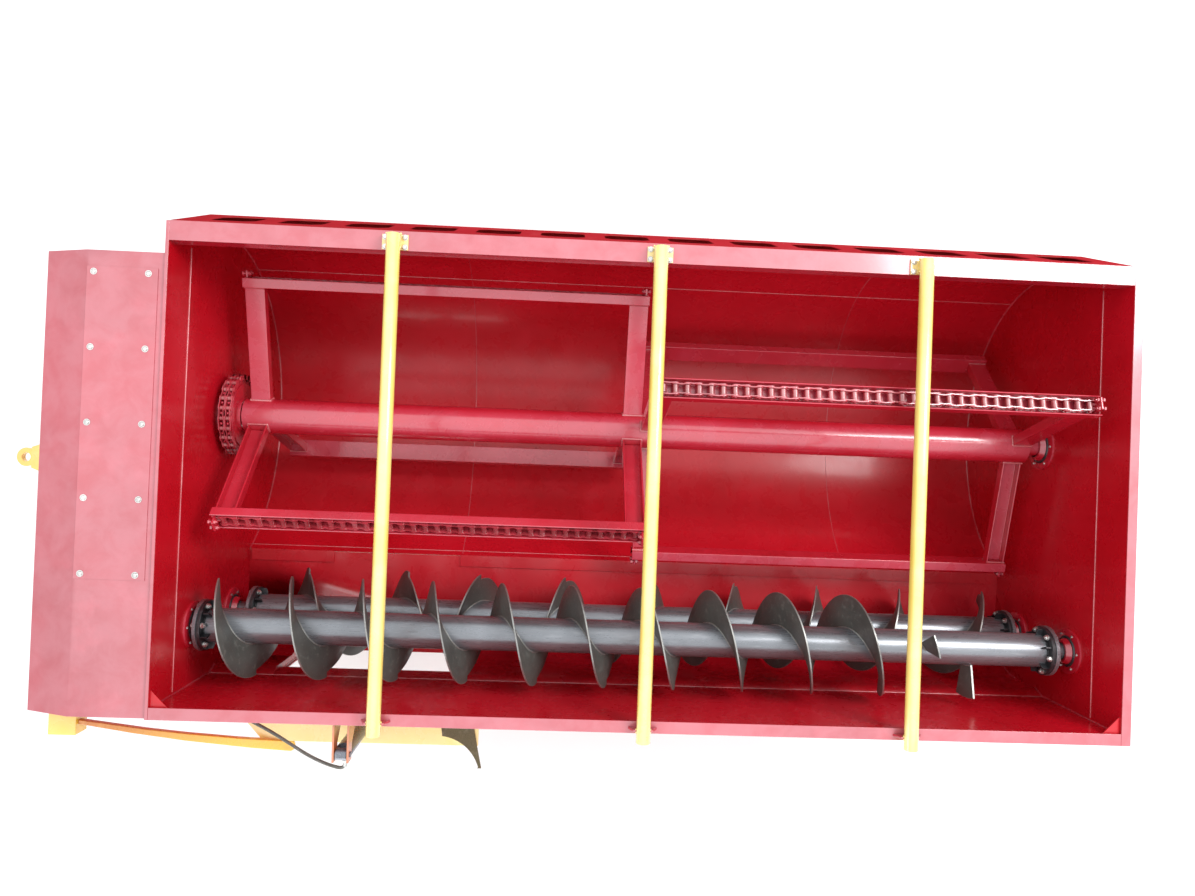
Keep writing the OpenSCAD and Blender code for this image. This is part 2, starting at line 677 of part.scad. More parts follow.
module chassis_frame() color(yellow) place() {
    for (s = [-1, 1]) difference() {
        box([rail_x[0], centre_y + s * rail_off - rail_w / 2, rail_z[0]],
            [rail_x[1], centre_y + s * rail_off + rail_w / 2, rail_z[1]]);
        box([rail_x[0] - 1, centre_y + s * rail_off - rail_w / 2 + 6, rail_z[0] + 6],
            [rail_x[1] + 1, centre_y + s * rail_off + rail_w / 2 - 6, rail_z[1] - 6]);
    }
    for (x = [front_end - 380, front_end + 760, axle_x - 40, half_l - 220])
        box([x, centre_y - rail_off + rail_w / 2, rail_z[0] + 20],
            [x + 80, centre_y + rail_off - rail_w / 2, rail_z[1]]);
    for (x = cradle_x) cradle(x);
    for (s = [-1, 1])
        box([axle_x - 60, centre_y + s * rail_off - rail_w / 2, tyre_r + axle_w / 2],
            [axle_x + 60, centre_y + s * rail_off + rail_w / 2, rail_z[0]]);
}

module axle_beam() color(yellow) place() {
    beam = track / 2 - tyre_w / 2 - 40;
    difference() {
        box([axle_x - axle_w / 2, centre_y - beam, tyre_r - axle_w / 2],
            [axle_x + axle_w / 2, centre_y + beam, tyre_r + axle_w / 2]);
        box([axle_x - axle_w / 2 + 8, centre_y - beam + 10, tyre_r - axle_w / 2 + 8],
            [axle_x + axle_w / 2 - 8, centre_y + beam - 10, tyre_r + axle_w / 2 - 8]);
    }
    for (s = [-1, 1]) mirror_y(s) rod_y(beam, track / 2 + 70, axle_x, tyre_r, axle_r);
}

// The front or back half of the running gear, seen from the centre line
module mirror_y(s) translate([0, centre_y, 0]) mirror([0, s < 0 ? 1 : 0, 0]) children();

module wheel(s) mirror_y(s) translate([axle_x, track / 2, tyre_r]) rotate([-90, 0, 0]) {
    half = tyre_w / 2 - 22;
    rotate_extrude($fn = 96) difference() {
        union() {
            polygon([[rim_in_r - 12, -half], [rim_in_r, -half], [rim_in_r, half], [rim_in_r - 12, half]]);
            polygon([[axle_r + fit, -14], [rim_in_r - 12, -2], [rim_in_r - 12, 10], [axle_r + fit, 14]]);
            polygon([[axle_r + fit, -60], [60, -60], [60, 60], [axle_r + fit, 60]]);
        }
    }
    for (a = [0:60:300]) rotate([0, 0, a]) translate([95, 0, 0]) cylinder(h = 26, r = 11, $fn = 24);
}

module tyre(s) mirror_y(s) translate([axle_x, track / 2, tyre_r]) rotate([-90, 0, 0])
    rotate_extrude($fn = 96) {
        w = tyre_w / 2;
        polygon([[rim_in_r, -w + 24], [rim_in_r + 30, -w + 8], [rim_in_r + 90, -w], [tyre_r - 46, -w + 6],
                 [tyre_r - 16, -w + 30], [tyre_r, -w + 70], [tyre_r, w - 70], [tyre_r - 16, w - 30],
                 [tyre_r - 46, w - 6], [rim_in_r + 90, w], [rim_in_r + 30, w - 8], [rim_in_r, w - 24]]);
    }

module front_wheel() color(yellow) place() wheel(-1);

module back_wheel() color(yellow) place() wheel(1);

module front_tyre() color([0.1, 0.1, 0.1]) place() tyre(-1);

module back_tyre() color([0.1, 0.1, 0.1]) place() tyre(1);

// A frame of two beams that meet at the nose, with a cross plate for the jack
module drawbar() color(yellow) place() difference() {
    union() {
        translate([0, centre_y, rail_z[0] + 10]) linear_extrude(100) difference() {
            polygon([[rail_x[0], -386], [rail_x[0], 386], [nose_x, 60], [nose_x, -60]]);
            polygon([[rail_x[0] + 1, -312], [rail_x[0] + 1, 312], [nose_x + 180, 12], [nose_x + 180, -12]]);
        }
        box([jack_x - 70, jack_y - jack_w / 2 - 14, rail_z[0] + 110],
            [jack_x + 70, centre_y + 200, rail_z[0] + 122]);
    }
    box([jack_x - jack_w / 2, jack_y - jack_w / 2, rail_z[0] - 70],
        [jack_x + jack_w / 2, jack_y + jack_w / 2, rail_z[0] + 230]);
}

module tow_eye() color(yellow) place() difference() {
    union() {
        translate([eye_x, centre_y, eye_z - 20]) cylinder(h = 40, r = eye_r);
        box([eye_x, centre_y - 25, eye_z - 20], [nose_x, centre_y + 25, eye_z + 20]);
    }
    translate([eye_x, centre_y, eye_z - 21]) cylinder(h = 42, r = eye_hole_r);
}

module jack_tube() color(yellow) place() difference() {
    box([jack_x - jack_w / 2, jack_y - jack_w / 2, jack_z],
        [jack_x + jack_w / 2, jack_y + jack_w / 2, jack_z + 690]);
    box([jack_x - jack_w / 2 + 6, jack_y - jack_w / 2 + 6, jack_z - 1],
        [jack_x + jack_w / 2 - 6, jack_y + jack_w / 2 - 6, jack_z + 680]);
}

module jack_leg() color(zinc) place() {
    box([jack_x - 28, jack_y - 28, 12], [jack_x + 28, jack_y + 28, jack_z + 310]);
    box([jack_x - 100, jack_y - 100, 0], [jack_x + 100, jack_y + 100, 12]);
}

// Reel: every bat and arm is drawn pointing up and turned to its angle, which is
// measured from the front over the top

module on_reel(a) translate([0, 0, reel_z]) rotate([90 - a, 0, 0]) children();

module reel_shaft() color(red) place() {
    tube_end = half_l - 100;
    difference() {
        rod_x(-tube_end, tube_end, 0, reel_z, reel_tube_r);
        rod_x(-tube_end + 12, tube_end - 12, 0, reel_z, reel_tube_r - 8);
    }
    rod_x(reel_plane[0] - 24, -tube_end, 0, reel_z, reel_stub_r);
    rod_x(tube_end, wall_out + housing_l - 4, 0, reel_z, reel_stub_r);
}

module reel_arm(x, a) on_reel(a) difference() {
    box([x - 45, -arm_depth / 2, reel_tube_r - 6], [x + 45, arm_depth / 2, bat_r]);
    box([x - 45 + arm_web, -arm_depth / 2 + arm_web, reel_tube_r - 8],
        [x + 45 - arm_web, arm_depth / 2 + 1, bat_r + 1]);
    rod_x(x - 50, x + 50, 0, 0, reel_tube_r);
}

module reel_arms() color(red) place() {
    for (i = [0, 1], a = left_angles) reel_arm(spider_x[i], a);
    for (i = [2, 3], a = right_angles) reel_arm(spider_x[i], a);
}

module bat(x0, x1, a) on_reel(a) {
    difference() {
        box([x0 - 48, -bat_w / 2, bat_r], [x1 + 48, bat_w / 2, bat_r + bat_h]);
        box([x0 - 49, -bat_w / 2 + 6, bat_r + 6], [x1 + 49, bat_w / 2 - 6, bat_r + bat_h + 1]);
    }
    for (x = [x0 - 36, x1 + 36 - anchor_t])
        box([x, -28, bat_r + 6], [x + anchor_t, 28, bat_r + 78]);
}

module reel_bats() color(red) place() {
    for (a = left_angles) bat(spider_x[0], spider_x[1], a);
    for (a = right_angles) bat(spider_x[2], spider_x[3], a);
}

module bat_chain(x0, x1, a) on_reel(a)
    box([x0 - 36 + anchor_t, -chain_w / 2, bat_r + 18],
        [x1 + 36 - anchor_t, chain_w / 2, bat_r + 18 + chain_h]);

module bat_chains() color(red) place() {
    for (a = left_angles) bat_chain(spider_x[0], spider_x[1], a);
    for (a = right_angles) bat_chain(spider_x[2], spider_x[3], a);
}

module chain_coupling() color(red) place() difference() {
    union() {
        rod_x(coupling_x[0], coupling_x[1], 0, reel_z, 78);
        rod_x(coupling_x[0] + 8, coupling_x[1] - 8, 0, reel_z, coupling_r - 14);
        difference() {
            rod_x(coupling_x[0], coupling_x[1], 0, reel_z, coupling_r);
            rod_x(coupling_x[0] - 1, coupling_x[1] + 1, 0, reel_z, coupling_r - 24);
        }
    }
    rod_x(coupling_x[0] - 1, coupling_x[1] + 1, 0, reel_z, reel_stub_r);
}

// Augers

module auger_tube(ends, y, z) {
    difference() {
        rod_x(ends[0] + 2 * flange_t, ends[1] - 2 * flange_t, y, z, auger_tube_r);
        rod_x(ends[0] + 2 * flange_t + 12, ends[1] - 2 * flange_t - 12, y, z, auger_tube_r - 8);
    }
    rod_x(auger_plane[0] - 6, ends[0], y, z, auger_stub_r);
    rod_x(ends[1], wall_out + housing_l - 4, y, z, auger_stub_r);
}

// Flange pairs with their ribs and bolts
module auger_flanges(ends, y, z) for (s = [0, 1]) translate([ends[s], y, z]) mirror([s, 0, 0]) {
    rotate([0, 90, 0]) cylinder(h = 2 * flange_t, r = flange_r);
    for (a = [0:60:300]) rotate([a + (s == 0 ? 52 : 12), 0, 0]) {
        translate([-7, 0, flange_pcd]) rotate([0, 90, 0]) cylinder(h = 2 * flange_t + 18, r = 10, $fn = 24);
        rotate([30, 0, 0]) difference() {
            box([2 * flange_t, -4, auger_tube_r - 3], [2 * flange_t + rib_l, 4, flange_r - 8]);
            rod_x(2 * flange_t - 1, 2 * flange_t + rib_l + 1, 0, 0, auger_tube_r);
        }
    }
}

// One helical flight from angle a0 to a1 about X, starting at x0; a negative pitch is left-handed
module flight(x0, a0, a1, pitch, r, y, z) {
    n = ceil(abs(a1 - a0) / 15);
    inner = (auger_tube_r + fit) / cos(7.5);
    function ring(i) = let(a = a0 + (a1 - a0) * i / n, x = x0 + pitch * (a - a0) / 360)
        [for (q = [[0, inner], [0, r], [flight_t, r], [flight_t, inner]])
         [x + q[0], y + q[1] * cos(a), z + q[1] * sin(a)]];
    points = [for (i = [0:n]) each ring(i)];
    sides = [for (i = [0:n - 1], k = [0:3]) let(b = 4 * i, k2 = (k + 1) % 4)
             each [[b + k, b + 4 + k2, b + k2], [b + k, b + 4 + k, b + 4 + k2]]];
    faces = concat([[0, 1, 2], [0, 2, 3]], sides,
                   [[4 * n, 4 * n + 2, 4 * n + 1], [4 * n, 4 * n + 3, 4 * n + 2]]);
    polyhedron(points, pitch > 0 ? faces : [for (f = faces) [f[0], f[2], f[1]]]);
}

module upper_auger_tube() color(steel) place() auger_tube(upper_ends, upper_y, upper_z);

module upper_auger_flanges() color(steel) place() auger_flanges(upper_ends, upper_y, upper_z);

// The main flight, then two single paddles
module upper_auger_flight() color(steel) place() {
    flight(front_end + 122, 15, 15 + upper_turn, upper_pitch, upper_r, upper_y, upper_z);
    flight(paddle_x[0], 66, 91, upper_pitch, upper_r, upper_y, upper_z);
    flight(paddle_x[1], 195, 165, -upper_pitch, upper_r, upper_y, upper_z);
}

module lower_auger_tube() color(steel) place() auger_tube(lower_ends, lower_y, lower_z);

module lower_auger_flanges() color(steel) place() auger_flanges(lower_ends, lower_y, lower_z);

module lower_auger_flight() color(steel) place() {
    flight(front_end + 370 - feed_pitch * 100 / 360, -100, 450, feed_pitch, lower_r, lower_y, lower_z);
    flight(front_end + 1237 - lower_pitch * 140 / 360, 140, -lower_turn, -lower_pitch, lower_r,
           lower_y, lower_z);
}

reel_trough();
auger_trough();
back_wall();
front_wall();
left_end_wall();
right_end_wall();
front_rim();
back_rim();
end_rims();
back_panel();
corner_gussets();
ridge_strips();
cross_bars();
bar_brackets();
bracket_bolts();
bar_saddles();
door_jambs();
door_guides();
cylinder_barrel();
cylinder_bracket();
hydraulic_hose();
discharge_hood();
rubber_flap();
support_arm();
arm_bracket();
drive_cover();
inspection_panel();
panel_bolts();
bearing_housings();
gearbox();
drive_chains();
chain_tensioners();
chassis_frame();
axle_beam();
drawbar();
tow_eye();
jack_tube();
jack_leg();
door_plate();
cylinder_rod();
reel_shaft();
reel_arms();
reel_bats();
bat_chains();
chain_coupling();
reel_sprocket();
upper_auger_tube();
upper_auger_flight();
upper_auger_flanges();
upper_auger_sprocket();
lower_auger_tube();
lower_auger_flight();
lower_auger_flanges();
lower_auger_sprocket();
drive_sprockets();
pto_shaft();
front_wheel();
front_tyre();
back_wheel();
back_tyre();
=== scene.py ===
import math

import bpy
from mathutils import Euler, Matrix, Vector


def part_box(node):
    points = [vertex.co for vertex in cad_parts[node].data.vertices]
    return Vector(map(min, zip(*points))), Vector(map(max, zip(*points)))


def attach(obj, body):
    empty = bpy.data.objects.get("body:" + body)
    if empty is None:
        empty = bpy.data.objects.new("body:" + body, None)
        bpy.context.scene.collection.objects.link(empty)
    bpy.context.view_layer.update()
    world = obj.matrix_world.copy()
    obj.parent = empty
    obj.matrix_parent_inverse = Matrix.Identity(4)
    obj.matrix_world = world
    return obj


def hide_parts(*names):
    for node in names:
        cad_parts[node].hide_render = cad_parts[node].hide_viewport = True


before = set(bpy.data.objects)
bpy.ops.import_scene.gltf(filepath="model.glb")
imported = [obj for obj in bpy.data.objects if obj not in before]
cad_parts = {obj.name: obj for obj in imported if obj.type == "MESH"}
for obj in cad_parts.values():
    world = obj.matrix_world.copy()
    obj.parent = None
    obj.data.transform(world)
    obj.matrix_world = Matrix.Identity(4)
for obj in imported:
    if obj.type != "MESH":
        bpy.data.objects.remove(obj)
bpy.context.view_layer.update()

scene = bpy.context.scene
scene.view_settings.view_transform = "Standard"

# Sizes of the CAD source in its millimetres: X along the tub, Y across it from the reel's axis, Z up
SHIFT_X, SHIFT_Y = 739, 340
RIM = 2150
WALL_X = 2000
TAU = 2 * math.pi
X_AXIS, Z_AXIS = Vector((1, 0, 0)), Vector((0, 0, 1))


def at(x, y, z):
    """A point of the CAD source, in millimetres, as a point of the row frame, in metres."""
    return Vector(((x + SHIFT_X) / 1000, (y + SHIFT_Y) / 1000, z / 1000))


# ---------------------------------------------------------------- camera
camera = bpy.data.objects.new("camera", bpy.data.cameras.new("camera"))
scene.collection.objects.link(camera)
camera.data.lens = 26.53
camera.data.sensor_width = 36
camera.data.clip_end = 200
CAMERA_AT = (0.362, 0.194, 5.758)
CAMERA_TURN = (-0.72789, 2.20935, -2.23887)
turn = Euler([math.radians(a) for a in CAMERA_TURN]).to_matrix()
camera.matrix_world = Matrix.Translation(CAMERA_AT) @ turn.transposed().to_4x4()
scene.camera = camera


# ---------------------------------------------------------------- shapes
def round_x(a, r=1.0):
    """A step of length r square to X, at angle a from Y."""
    return Vector((0, r * math.cos(a), r * math.sin(a)))


def frame_on(axis):
    """The unit axis and two directions square to it and to each other."""
    axis = Vector(axis).normalized()
    helper = Z_AXIS if abs(axis.z) < 0.9 else X_AXIS
    u = axis.cross(helper).normalized()
    return axis, u, axis.cross(u)


class Shape:
    """Vertices and faces of one piece, in row-frame metres."""

    def __init__(self):
        self.verts, self.faces, self.marks = [], [], []

    def add(self, verts, faces, marks):
        """marks holds each face's material slot."""
        n = len(self.verts)
        self.verts += [tuple(v) for v in verts]
        self.faces += [tuple(i + n for i in f) for f in faces]
        self.marks += marks

    def grid(self, rings, caps=True, mark=0, sides=None):
        """Skins closed rings in a row; sides holds a slot for each side, and mark is the caps' slot."""
        m, n = len(rings[0]), len(rings)
        faces = []
        for i in range(n - 1):
            for k in range(m):
                j = (k + 1) % m
                faces.append((i * m + k, i * m + j, (i + 1) * m + j, (i + 1) * m + k))
        marks = (sides or [mark] * m) * (n - 1)
        if caps:
            faces += [tuple(reversed(range(m))), tuple(range((n - 1) * m, n * m))]
            marks += [mark, mark]
        self.add([p for ring in rings for p in ring], faces, marks)

    def box(self, lo, hi, mark=0):
        (x0, y0, z0), (x1, y1, z1) = lo, hi
        self.grid([[(x0, y0, z), (x1, y0, z), (x1, y1, z), (x0, y1, z)] for z in (z0, z1)], mark=mark)

    def turned(self, origin, axis, profile, steps=32, mark=0, phase=0.0, caps=True):
        """profile holds (distance along axis, radius) pairs."""
        axis, u, w = frame_on(axis)
        origin = Vector(origin)
        self.grid([[origin + axis * t + r * (math.cos(TAU * k / steps + phase) * u
                                             + math.sin(TAU * k / steps + phase) * w)
                    for k in range(steps)] for t, r in profile], mark=mark, caps=caps)

    def extruded(self, origin, u, w, outline, depth, mark=0):
        """outline holds (u, w) pairs; depth goes along u x w from origin."""
        n = u.cross(w)
        self.grid([[origin + u * a + w * b + n * d for a, b in outline] for d in depth], mark=mark)

    def tube(self, path, radius, sides=8, mark=0, ripple=0.0, pitch=0.008, closed=False):
        """A round rod along path; a weld bead's radius swells by ripple once every pitch."""
        n = len(path)
        rings, run = [], 0.0
        side = None
        for i, p in enumerate(path):
            a = path[(i - 1) % n] if closed else path[max(i - 1, 0)]
            b = path[(i + 1) % n] if closed else path[min(i + 1, n - 1)]
            t = (b - a).normalized()
            if side is None:
                side = frame_on(t)[1]
            side = (side - t * side.dot(t)).normalized()
            up = t.cross(side)
            if i:
                run += (p - path[i - 1]).length
            r = radius * (1 + ripple * math.sin(TAU * run / pitch))
            rings.append([p + r * (math.cos(TAU * k / sides) * side + math.sin(TAU * k / sides) * up)
                          for k in range(sides)])
        if closed:
            rings.append(rings[0])
        self.grid(rings, caps=not closed, mark=mark)

    def bead(self, path, radius, pitch, ripple=0.14, sides=6, closed=False):
        """A weld bead along path."""
        self.tube(path, radius, sides, 0, ripple, pitch, closed)

    def piece(self, name, materials, body, replaced=(), slot=None, sharp=35, bevel=0.0):
        """Makes the object; replaced names the CAD nodes that it stands for, and slot is not used."""
        mesh = bpy.data.meshes.new(name)
        mesh.from_pydata(self.verts, [], self.faces)
        for material in materials if isinstance(materials, (list, tuple)) else [materials]:
            mesh.materials.append(material)
        mesh.polygons.foreach_set("material_index", self.marks)
        mesh.polygons.foreach_set("use_smooth", [True] * len(self.faces))
        mesh.update()
        mesh.set_sharp_from_angle(angle=math.radians(sharp))
        obj = bpy.data.objects.new(name, mesh)
        scene.collection.objects.link(obj)
        if bevel:
            add_bevel(obj, bevel)
        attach(obj, body)
        if replaced:
            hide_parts(*replaced)
        return obj


def add_bevel(obj, width):
    mod = obj.modifiers.new("edges", "BEVEL")
    mod.width = width
    mod.segments = 2
    mod.limit_method = "ANGLE"
    mod.angle_limit = math.radians(40)
    mod.use_clamp_overlap = True
    normals = obj.modifiers.new("normals", "WEIGHTED_NORMAL")
    normals.keep_sharp = True
    normals.weight = 80


def line(a, b, step=0.004):
    """Points a step apart from a to b."""
    n = max(2, int((b - a).length / step))
    return [a.lerp(b, i / n) for i in range(n + 1)]


def hexagon(shape, origin, axis, across, height, mark=0, phase=0.0):
    """A bolt head with a chamfered rim."""
    r = across / math.sqrt(3)
    shape.turned(origin, axis, [(0, r), (height * 0.78, r)], 6, mark, phase)
    shape.turned(Vector(origin) + Vector(axis).normalized() * height * 0.78, axis,
                 [(0, r * 0.98), (height * 0.22, r * 0.84)], 6, mark, phase)


# ---------------------------------------------------------------- materials
class Nodes:
    """Short calls for building one material."""

    def __init__(self, name):
        self.material = bpy.data.materials.new(name)
        self.material.use_nodes = True
        self.tree = self.material.node_tree
        self.tree.nodes.clear()
        self.shader = self.tree.nodes.new("ShaderNodeBsdfPrincipled")
        self.link(self.shader.outputs[0], self.tree.nodes.new("ShaderNodeOutputMaterial").inputs[0])
        self.place = self.tree.nodes.new("ShaderNodeTexCoord").outputs["Object"]

    def link(self, a, b):
        self.tree.links.new(a, b)

    def new(self, kind, **inputs):
        node = self.tree.nodes.new("ShaderNode" + kind)
        for key, value in inputs.items():
            node.inputs[key].default_value = value
        return node

    def feed(self, socket, value):
        """Puts a number, a colour or another node's output on socket."""
        if isinstance(value, (int, float)):
            socket.default_value = value
        elif isinstance(value, tuple):
            socket.default_value = (*value, 1)
        else:
            self.link(value, socket)

    def scaled(self, scale):
        node = self.tree.nodes.new("ShaderNodeMapping")
        node.inputs["Scale"].default_value = scale
        self.link(self.place, node.inputs["Vector"])
        return node.outputs[0]

    def noise(self, scale, detail=3.0, rough=0.55, vector=None, distortion=0.0):
        node = self.new("TexNoise", Scale=scale, Detail=detail, Roughness=rough, Distortion=distortion)
        self.link(vector or self.place, node.inputs["Vector"])
        return node.outputs["Fac"]

    def ramp(self, value, low, high, to_min=0.0, to_max=1.0):
        node = self.tree.nodes.new("ShaderNodeMapRange")
        node.interpolation_type = "SMOOTHSTEP"
        self.link(value, node.inputs["Value"])
        for key, number in (("From Min", low), ("From Max", high), ("To Min", to_min), ("To Max", to_max)):
            node.inputs[key].default_value = number
        return node.outputs["Result"]

    def math(self, operation, a, b=0.0):
        node = self.tree.nodes.new("ShaderNodeMath")
        node.operation = operation
        node.use_clamp = True
        for socket, value in zip(node.inputs, (a, b)):
            self.feed(socket, value)
        return node.outputs[0]

    def mix(self, factor, a, b):
        node = self.tree.nodes.new("ShaderNodeMix")
        node.data_type = "RGBA"
        for place, value in ((0, factor), (6, a), (7, b)):
            self.feed(node.inputs[place], value)
        return node.outputs[2]

    def upward(self, low=0.55, high=0.97):
        """1 on faces that look up, 0 on walls and undersides."""
        geometry = self.tree.nodes.new("ShaderNodeNewGeometry")
        parts = self.tree.nodes.new("ShaderNodeSeparateXYZ")
        self.link(geometry.outputs["Normal"], parts.inputs[0])
        return self.ramp(parts.outputs["Z"], low, high)

    def bump(self, height, strength, distance, under=None):
        node = self.tree.nodes.new("ShaderNodeBump")
        node.inputs["Strength"].default_value = strength
        node.inputs["Distance"].default_value = distance
        self.link(height, node.inputs["Height"])
        if under is not None:
            self.link(under, node.inputs["Normal"])
        return node.outputs[0]

    def done(self, colour, rough, normal, **plain):
        for socket, value in (("Base Color", colour), ("Roughness", rough), ("Normal", normal)):
            self.feed(self.shader.inputs[socket], value)
        for key, value in plain.items():
            self.shader.inputs[key.replace("_", " ")].default_value = value
        return self.material


def enamel(name, base, deep, pale, dust_and_sheen=0.25, dust_and_sheen_colour=(0.62, 0.45, 0.44), gloss=(0.16, 0.34),
           coat=0.7, peel=0.10, streaks=0.35, spec=0.75):
    """Sprayed gloss paint on welded sheet: orange peel, cloudy film, runs, fine specks, and a paler tint on
    faces that look up that is partly settled dust and partly a painted sheen.
    """
    n = Nodes(name)
    cloud = n.noise(1.3, 5, 0.6)
    patch = n.noise(9.0, 4, 0.6, distortion=0.4)
    runs = n.noise(6.0, 4, 0.6, n.scaled((1.0, 1.0, 0.12)))
    speck = n.noise(420.0, 2, 0.5)
    orange = n.noise(650.0, 2, 0.5)
    sheet = n.noise(2.2, 2, 0.5)
    colour = n.mix(n.ramp(cloud, 0.35, 0.68), base, deep)
    colour = n.mix(n.math("MULTIPLY", n.ramp(runs, 0.52, 0.72), streaks), colour, pale)
    colour = n.mix(n.math("MULTIPLY", n.ramp(patch, 0.45, 0.80), 0.08), colour, deep)
    colour = n.mix(n.math("MULTIPLY", n.ramp(speck, 0.70, 0.76), 0.22), colour, pale)
    # Faces that look up are tinted towards the dust colour: partly settled dust, partly a painted sheen where
    # the sky would reflect.
    dust_and_sheen_mask = n.math("MULTIPLY", n.upward(), n.ramp(patch, 0.25, 0.70, dust_and_sheen * 0.55, dust_and_sheen))
    colour = n.mix(dust_and_sheen_mask, colour, dust_and_sheen_colour)
    rough = n.ramp(patch, 0.2, 0.8, *gloss)
    rough = n.math("ADD", rough, n.math("MULTIPLY", dust_and_sheen_mask, 0.35))
    normal = n.bump(sheet, 0.12, 0.006)
    normal = n.bump(orange, peel, 0.0006, normal)
    return n.done(colour, rough, normal, Coat_Weight=coat, Coat_Roughness=0.12, Coat_IOR=1.65,
                  Specular_IOR_Level=spec)


def steel(name, base, deep, pale, rough=(0.28, 0.5), metallic=0.0, spec=0.9, along=(1, 1, 1), grain=60.0,
          bump=0.12):
    """Painted or bare steel: drawn or ground grain, handling marks and darker patches."""
    n = Nodes(name)
    cloud = n.noise(3.0, 5, 0.6)
    marks = n.noise(grain, 5, 0.62, n.scaled(along))
    scratch = n.noise(grain * 4, 2, 0.5, n.scaled(tuple(a * 0.3 + 0.7 * (a > 1) for a in along)))
    colour = n.mix(n.ramp(cloud, 0.32, 0.70), base, deep)
    colour = n.mix(n.math("MULTIPLY", n.ramp(marks, 0.52, 0.74), 0.55), colour, pale)
    colour = n.mix(n.math("MULTIPLY", n.ramp(scratch, 0.66, 0.74), 0.35), colour, pale)
    roughness = n.ramp(marks, 0.25, 0.75, *rough)
    normal = n.bump(marks, bump, 0.0008)
    return n.done(colour, roughness, normal, Metallic=metallic, Specular_IOR_Level=spec)


def rubber(name, base, deep, pale):
    n = Nodes(name)
    cloud = n.noise(6.0, 5, 0.6)
    grain = n.noise(260.0, 3, 0.6)
    scuff = n.noise(28.0, 5, 0.65, n.scaled((1, 1, 4)))
    colour = n.mix(n.ramp(cloud, 0.35, 0.68), base, deep)
    colour = n.mix(n.math("MULTIPLY", n.ramp(scuff, 0.54, 0.72), 0.45), colour, pale)
    colour = n.mix(n.math("MULTIPLY", n.upward(0.3, 0.95), n.ramp(grain, 0.35, 0.7, 0.0, 0.35)), colour, pale)
    return n.done(colour, n.ramp(grain, 0.3, 0.7, 0.55, 0.82), n.bump(grain, 0.35, 0.0009),
                  Specular_IOR_Level=0.35)


red = enamel("red_enamel", (0.56, 0.0065, 0.018), (0.47, 0.004, 0.011), (0.60, 0.016, 0.034), dust_and_sheen=0.025,
             gloss=(0.22, 0.34), coat=0.16, spec=0.32, streaks=0.22)
# Back panel: the tan tint on its faces that look up is a painted reflection of the pale surroundings.
red_matt = enamel("red_panel_enamel", (0.40, 0.022, 0.030), (0.32, 0.015, 0.02), (0.48, 0.06, 0.07),
                  dust_and_sheen=0.10, dust_and_sheen_colour=(0.45, 0.30, 0.22), gloss=(0.55, 0.7), coat=0.0, spec=0.0)
# Rims and covers: the strong pink tint on faces that look up is a painted sheen of the sky.
red_top = enamel("red_cover_enamel", (0.46, 0.016, 0.034), (0.36, 0.010, 0.022), (0.56, 0.05, 0.08),
                 dust_and_sheen=0.34, dust_and_sheen_colour=(0.64, 0.33, 0.38), gloss=(0.22, 0.38), coat=0.75)
# Reel: the pink tint on faces that look up is mostly a painted sheen.
red_reel = enamel("red_reel_enamel", (0.54, 0.016, 0.034), (0.46, 0.010, 0.022), (0.60, 0.04, 0.075),
                  dust_and_sheen=0.16, dust_and_sheen_colour=(0.60, 0.30, 0.42), gloss=(0.16, 0.30), coat=0.6, spec=0.6)
# Weld beads: a lighter red than the tub's paint, a painted highlight along the seams.
red_weld = enamel("red_weld_bead", (0.62, 0.075, 0.10), (0.44, 0.02, 0.035), (0.85, 0.40, 0.42),
                  dust_and_sheen=0.3, gloss=(0.18, 0.35), peel=0.3)
yellow = enamel("yellow_enamel", (0.90, 0.63, 0.085), (0.84, 0.51, 0.04), (0.95, 0.76, 0.26), dust_and_sheen=0.12,
                dust_and_sheen_colour=(0.93, 0.84, 0.58), gloss=(0.12, 0.28), streaks=0.25)
# A paler copy of the yellow: painted light on the top-lit bars and hood.
yellow_bar = enamel("yellow_tube_enamel", (0.92, 0.74, 0.22), (0.88, 0.64, 0.12), (0.95, 0.84, 0.45),
                    dust_and_sheen=0.2, dust_and_sheen_colour=(0.95, 0.90, 0.70), gloss=(0.12, 0.28), streaks=0.25)
# A paler copy of the yellow: painted light on the top-lit brackets, bar beads and flap clamp.
yellow_pale = enamel("yellow_bracket_enamel", (0.90, 0.68, 0.17), (0.86, 0.56, 0.07), (0.95, 0.82, 0.45),
                     dust_and_sheen=0.35, dust_and_sheen_colour=(0.93, 0.86, 0.66), gloss=(0.16, 0.32))
graphite = steel("auger_graphite", (0.235, 0.248, 0.268), (0.180, 0.190, 0.205), (0.34, 0.35, 0.37),
                 (0.24, 0.36), metallic=0.6, along=(0.12, 1, 1), grain=80.0)
flight_grey = steel("flight_graphite", (0.105, 0.106, 0.095), (0.065, 0.066, 0.060), (0.20, 0.20, 0.18),
                    (0.38, 0.58), metallic=0.1, spec=0.6, grain=40.0)
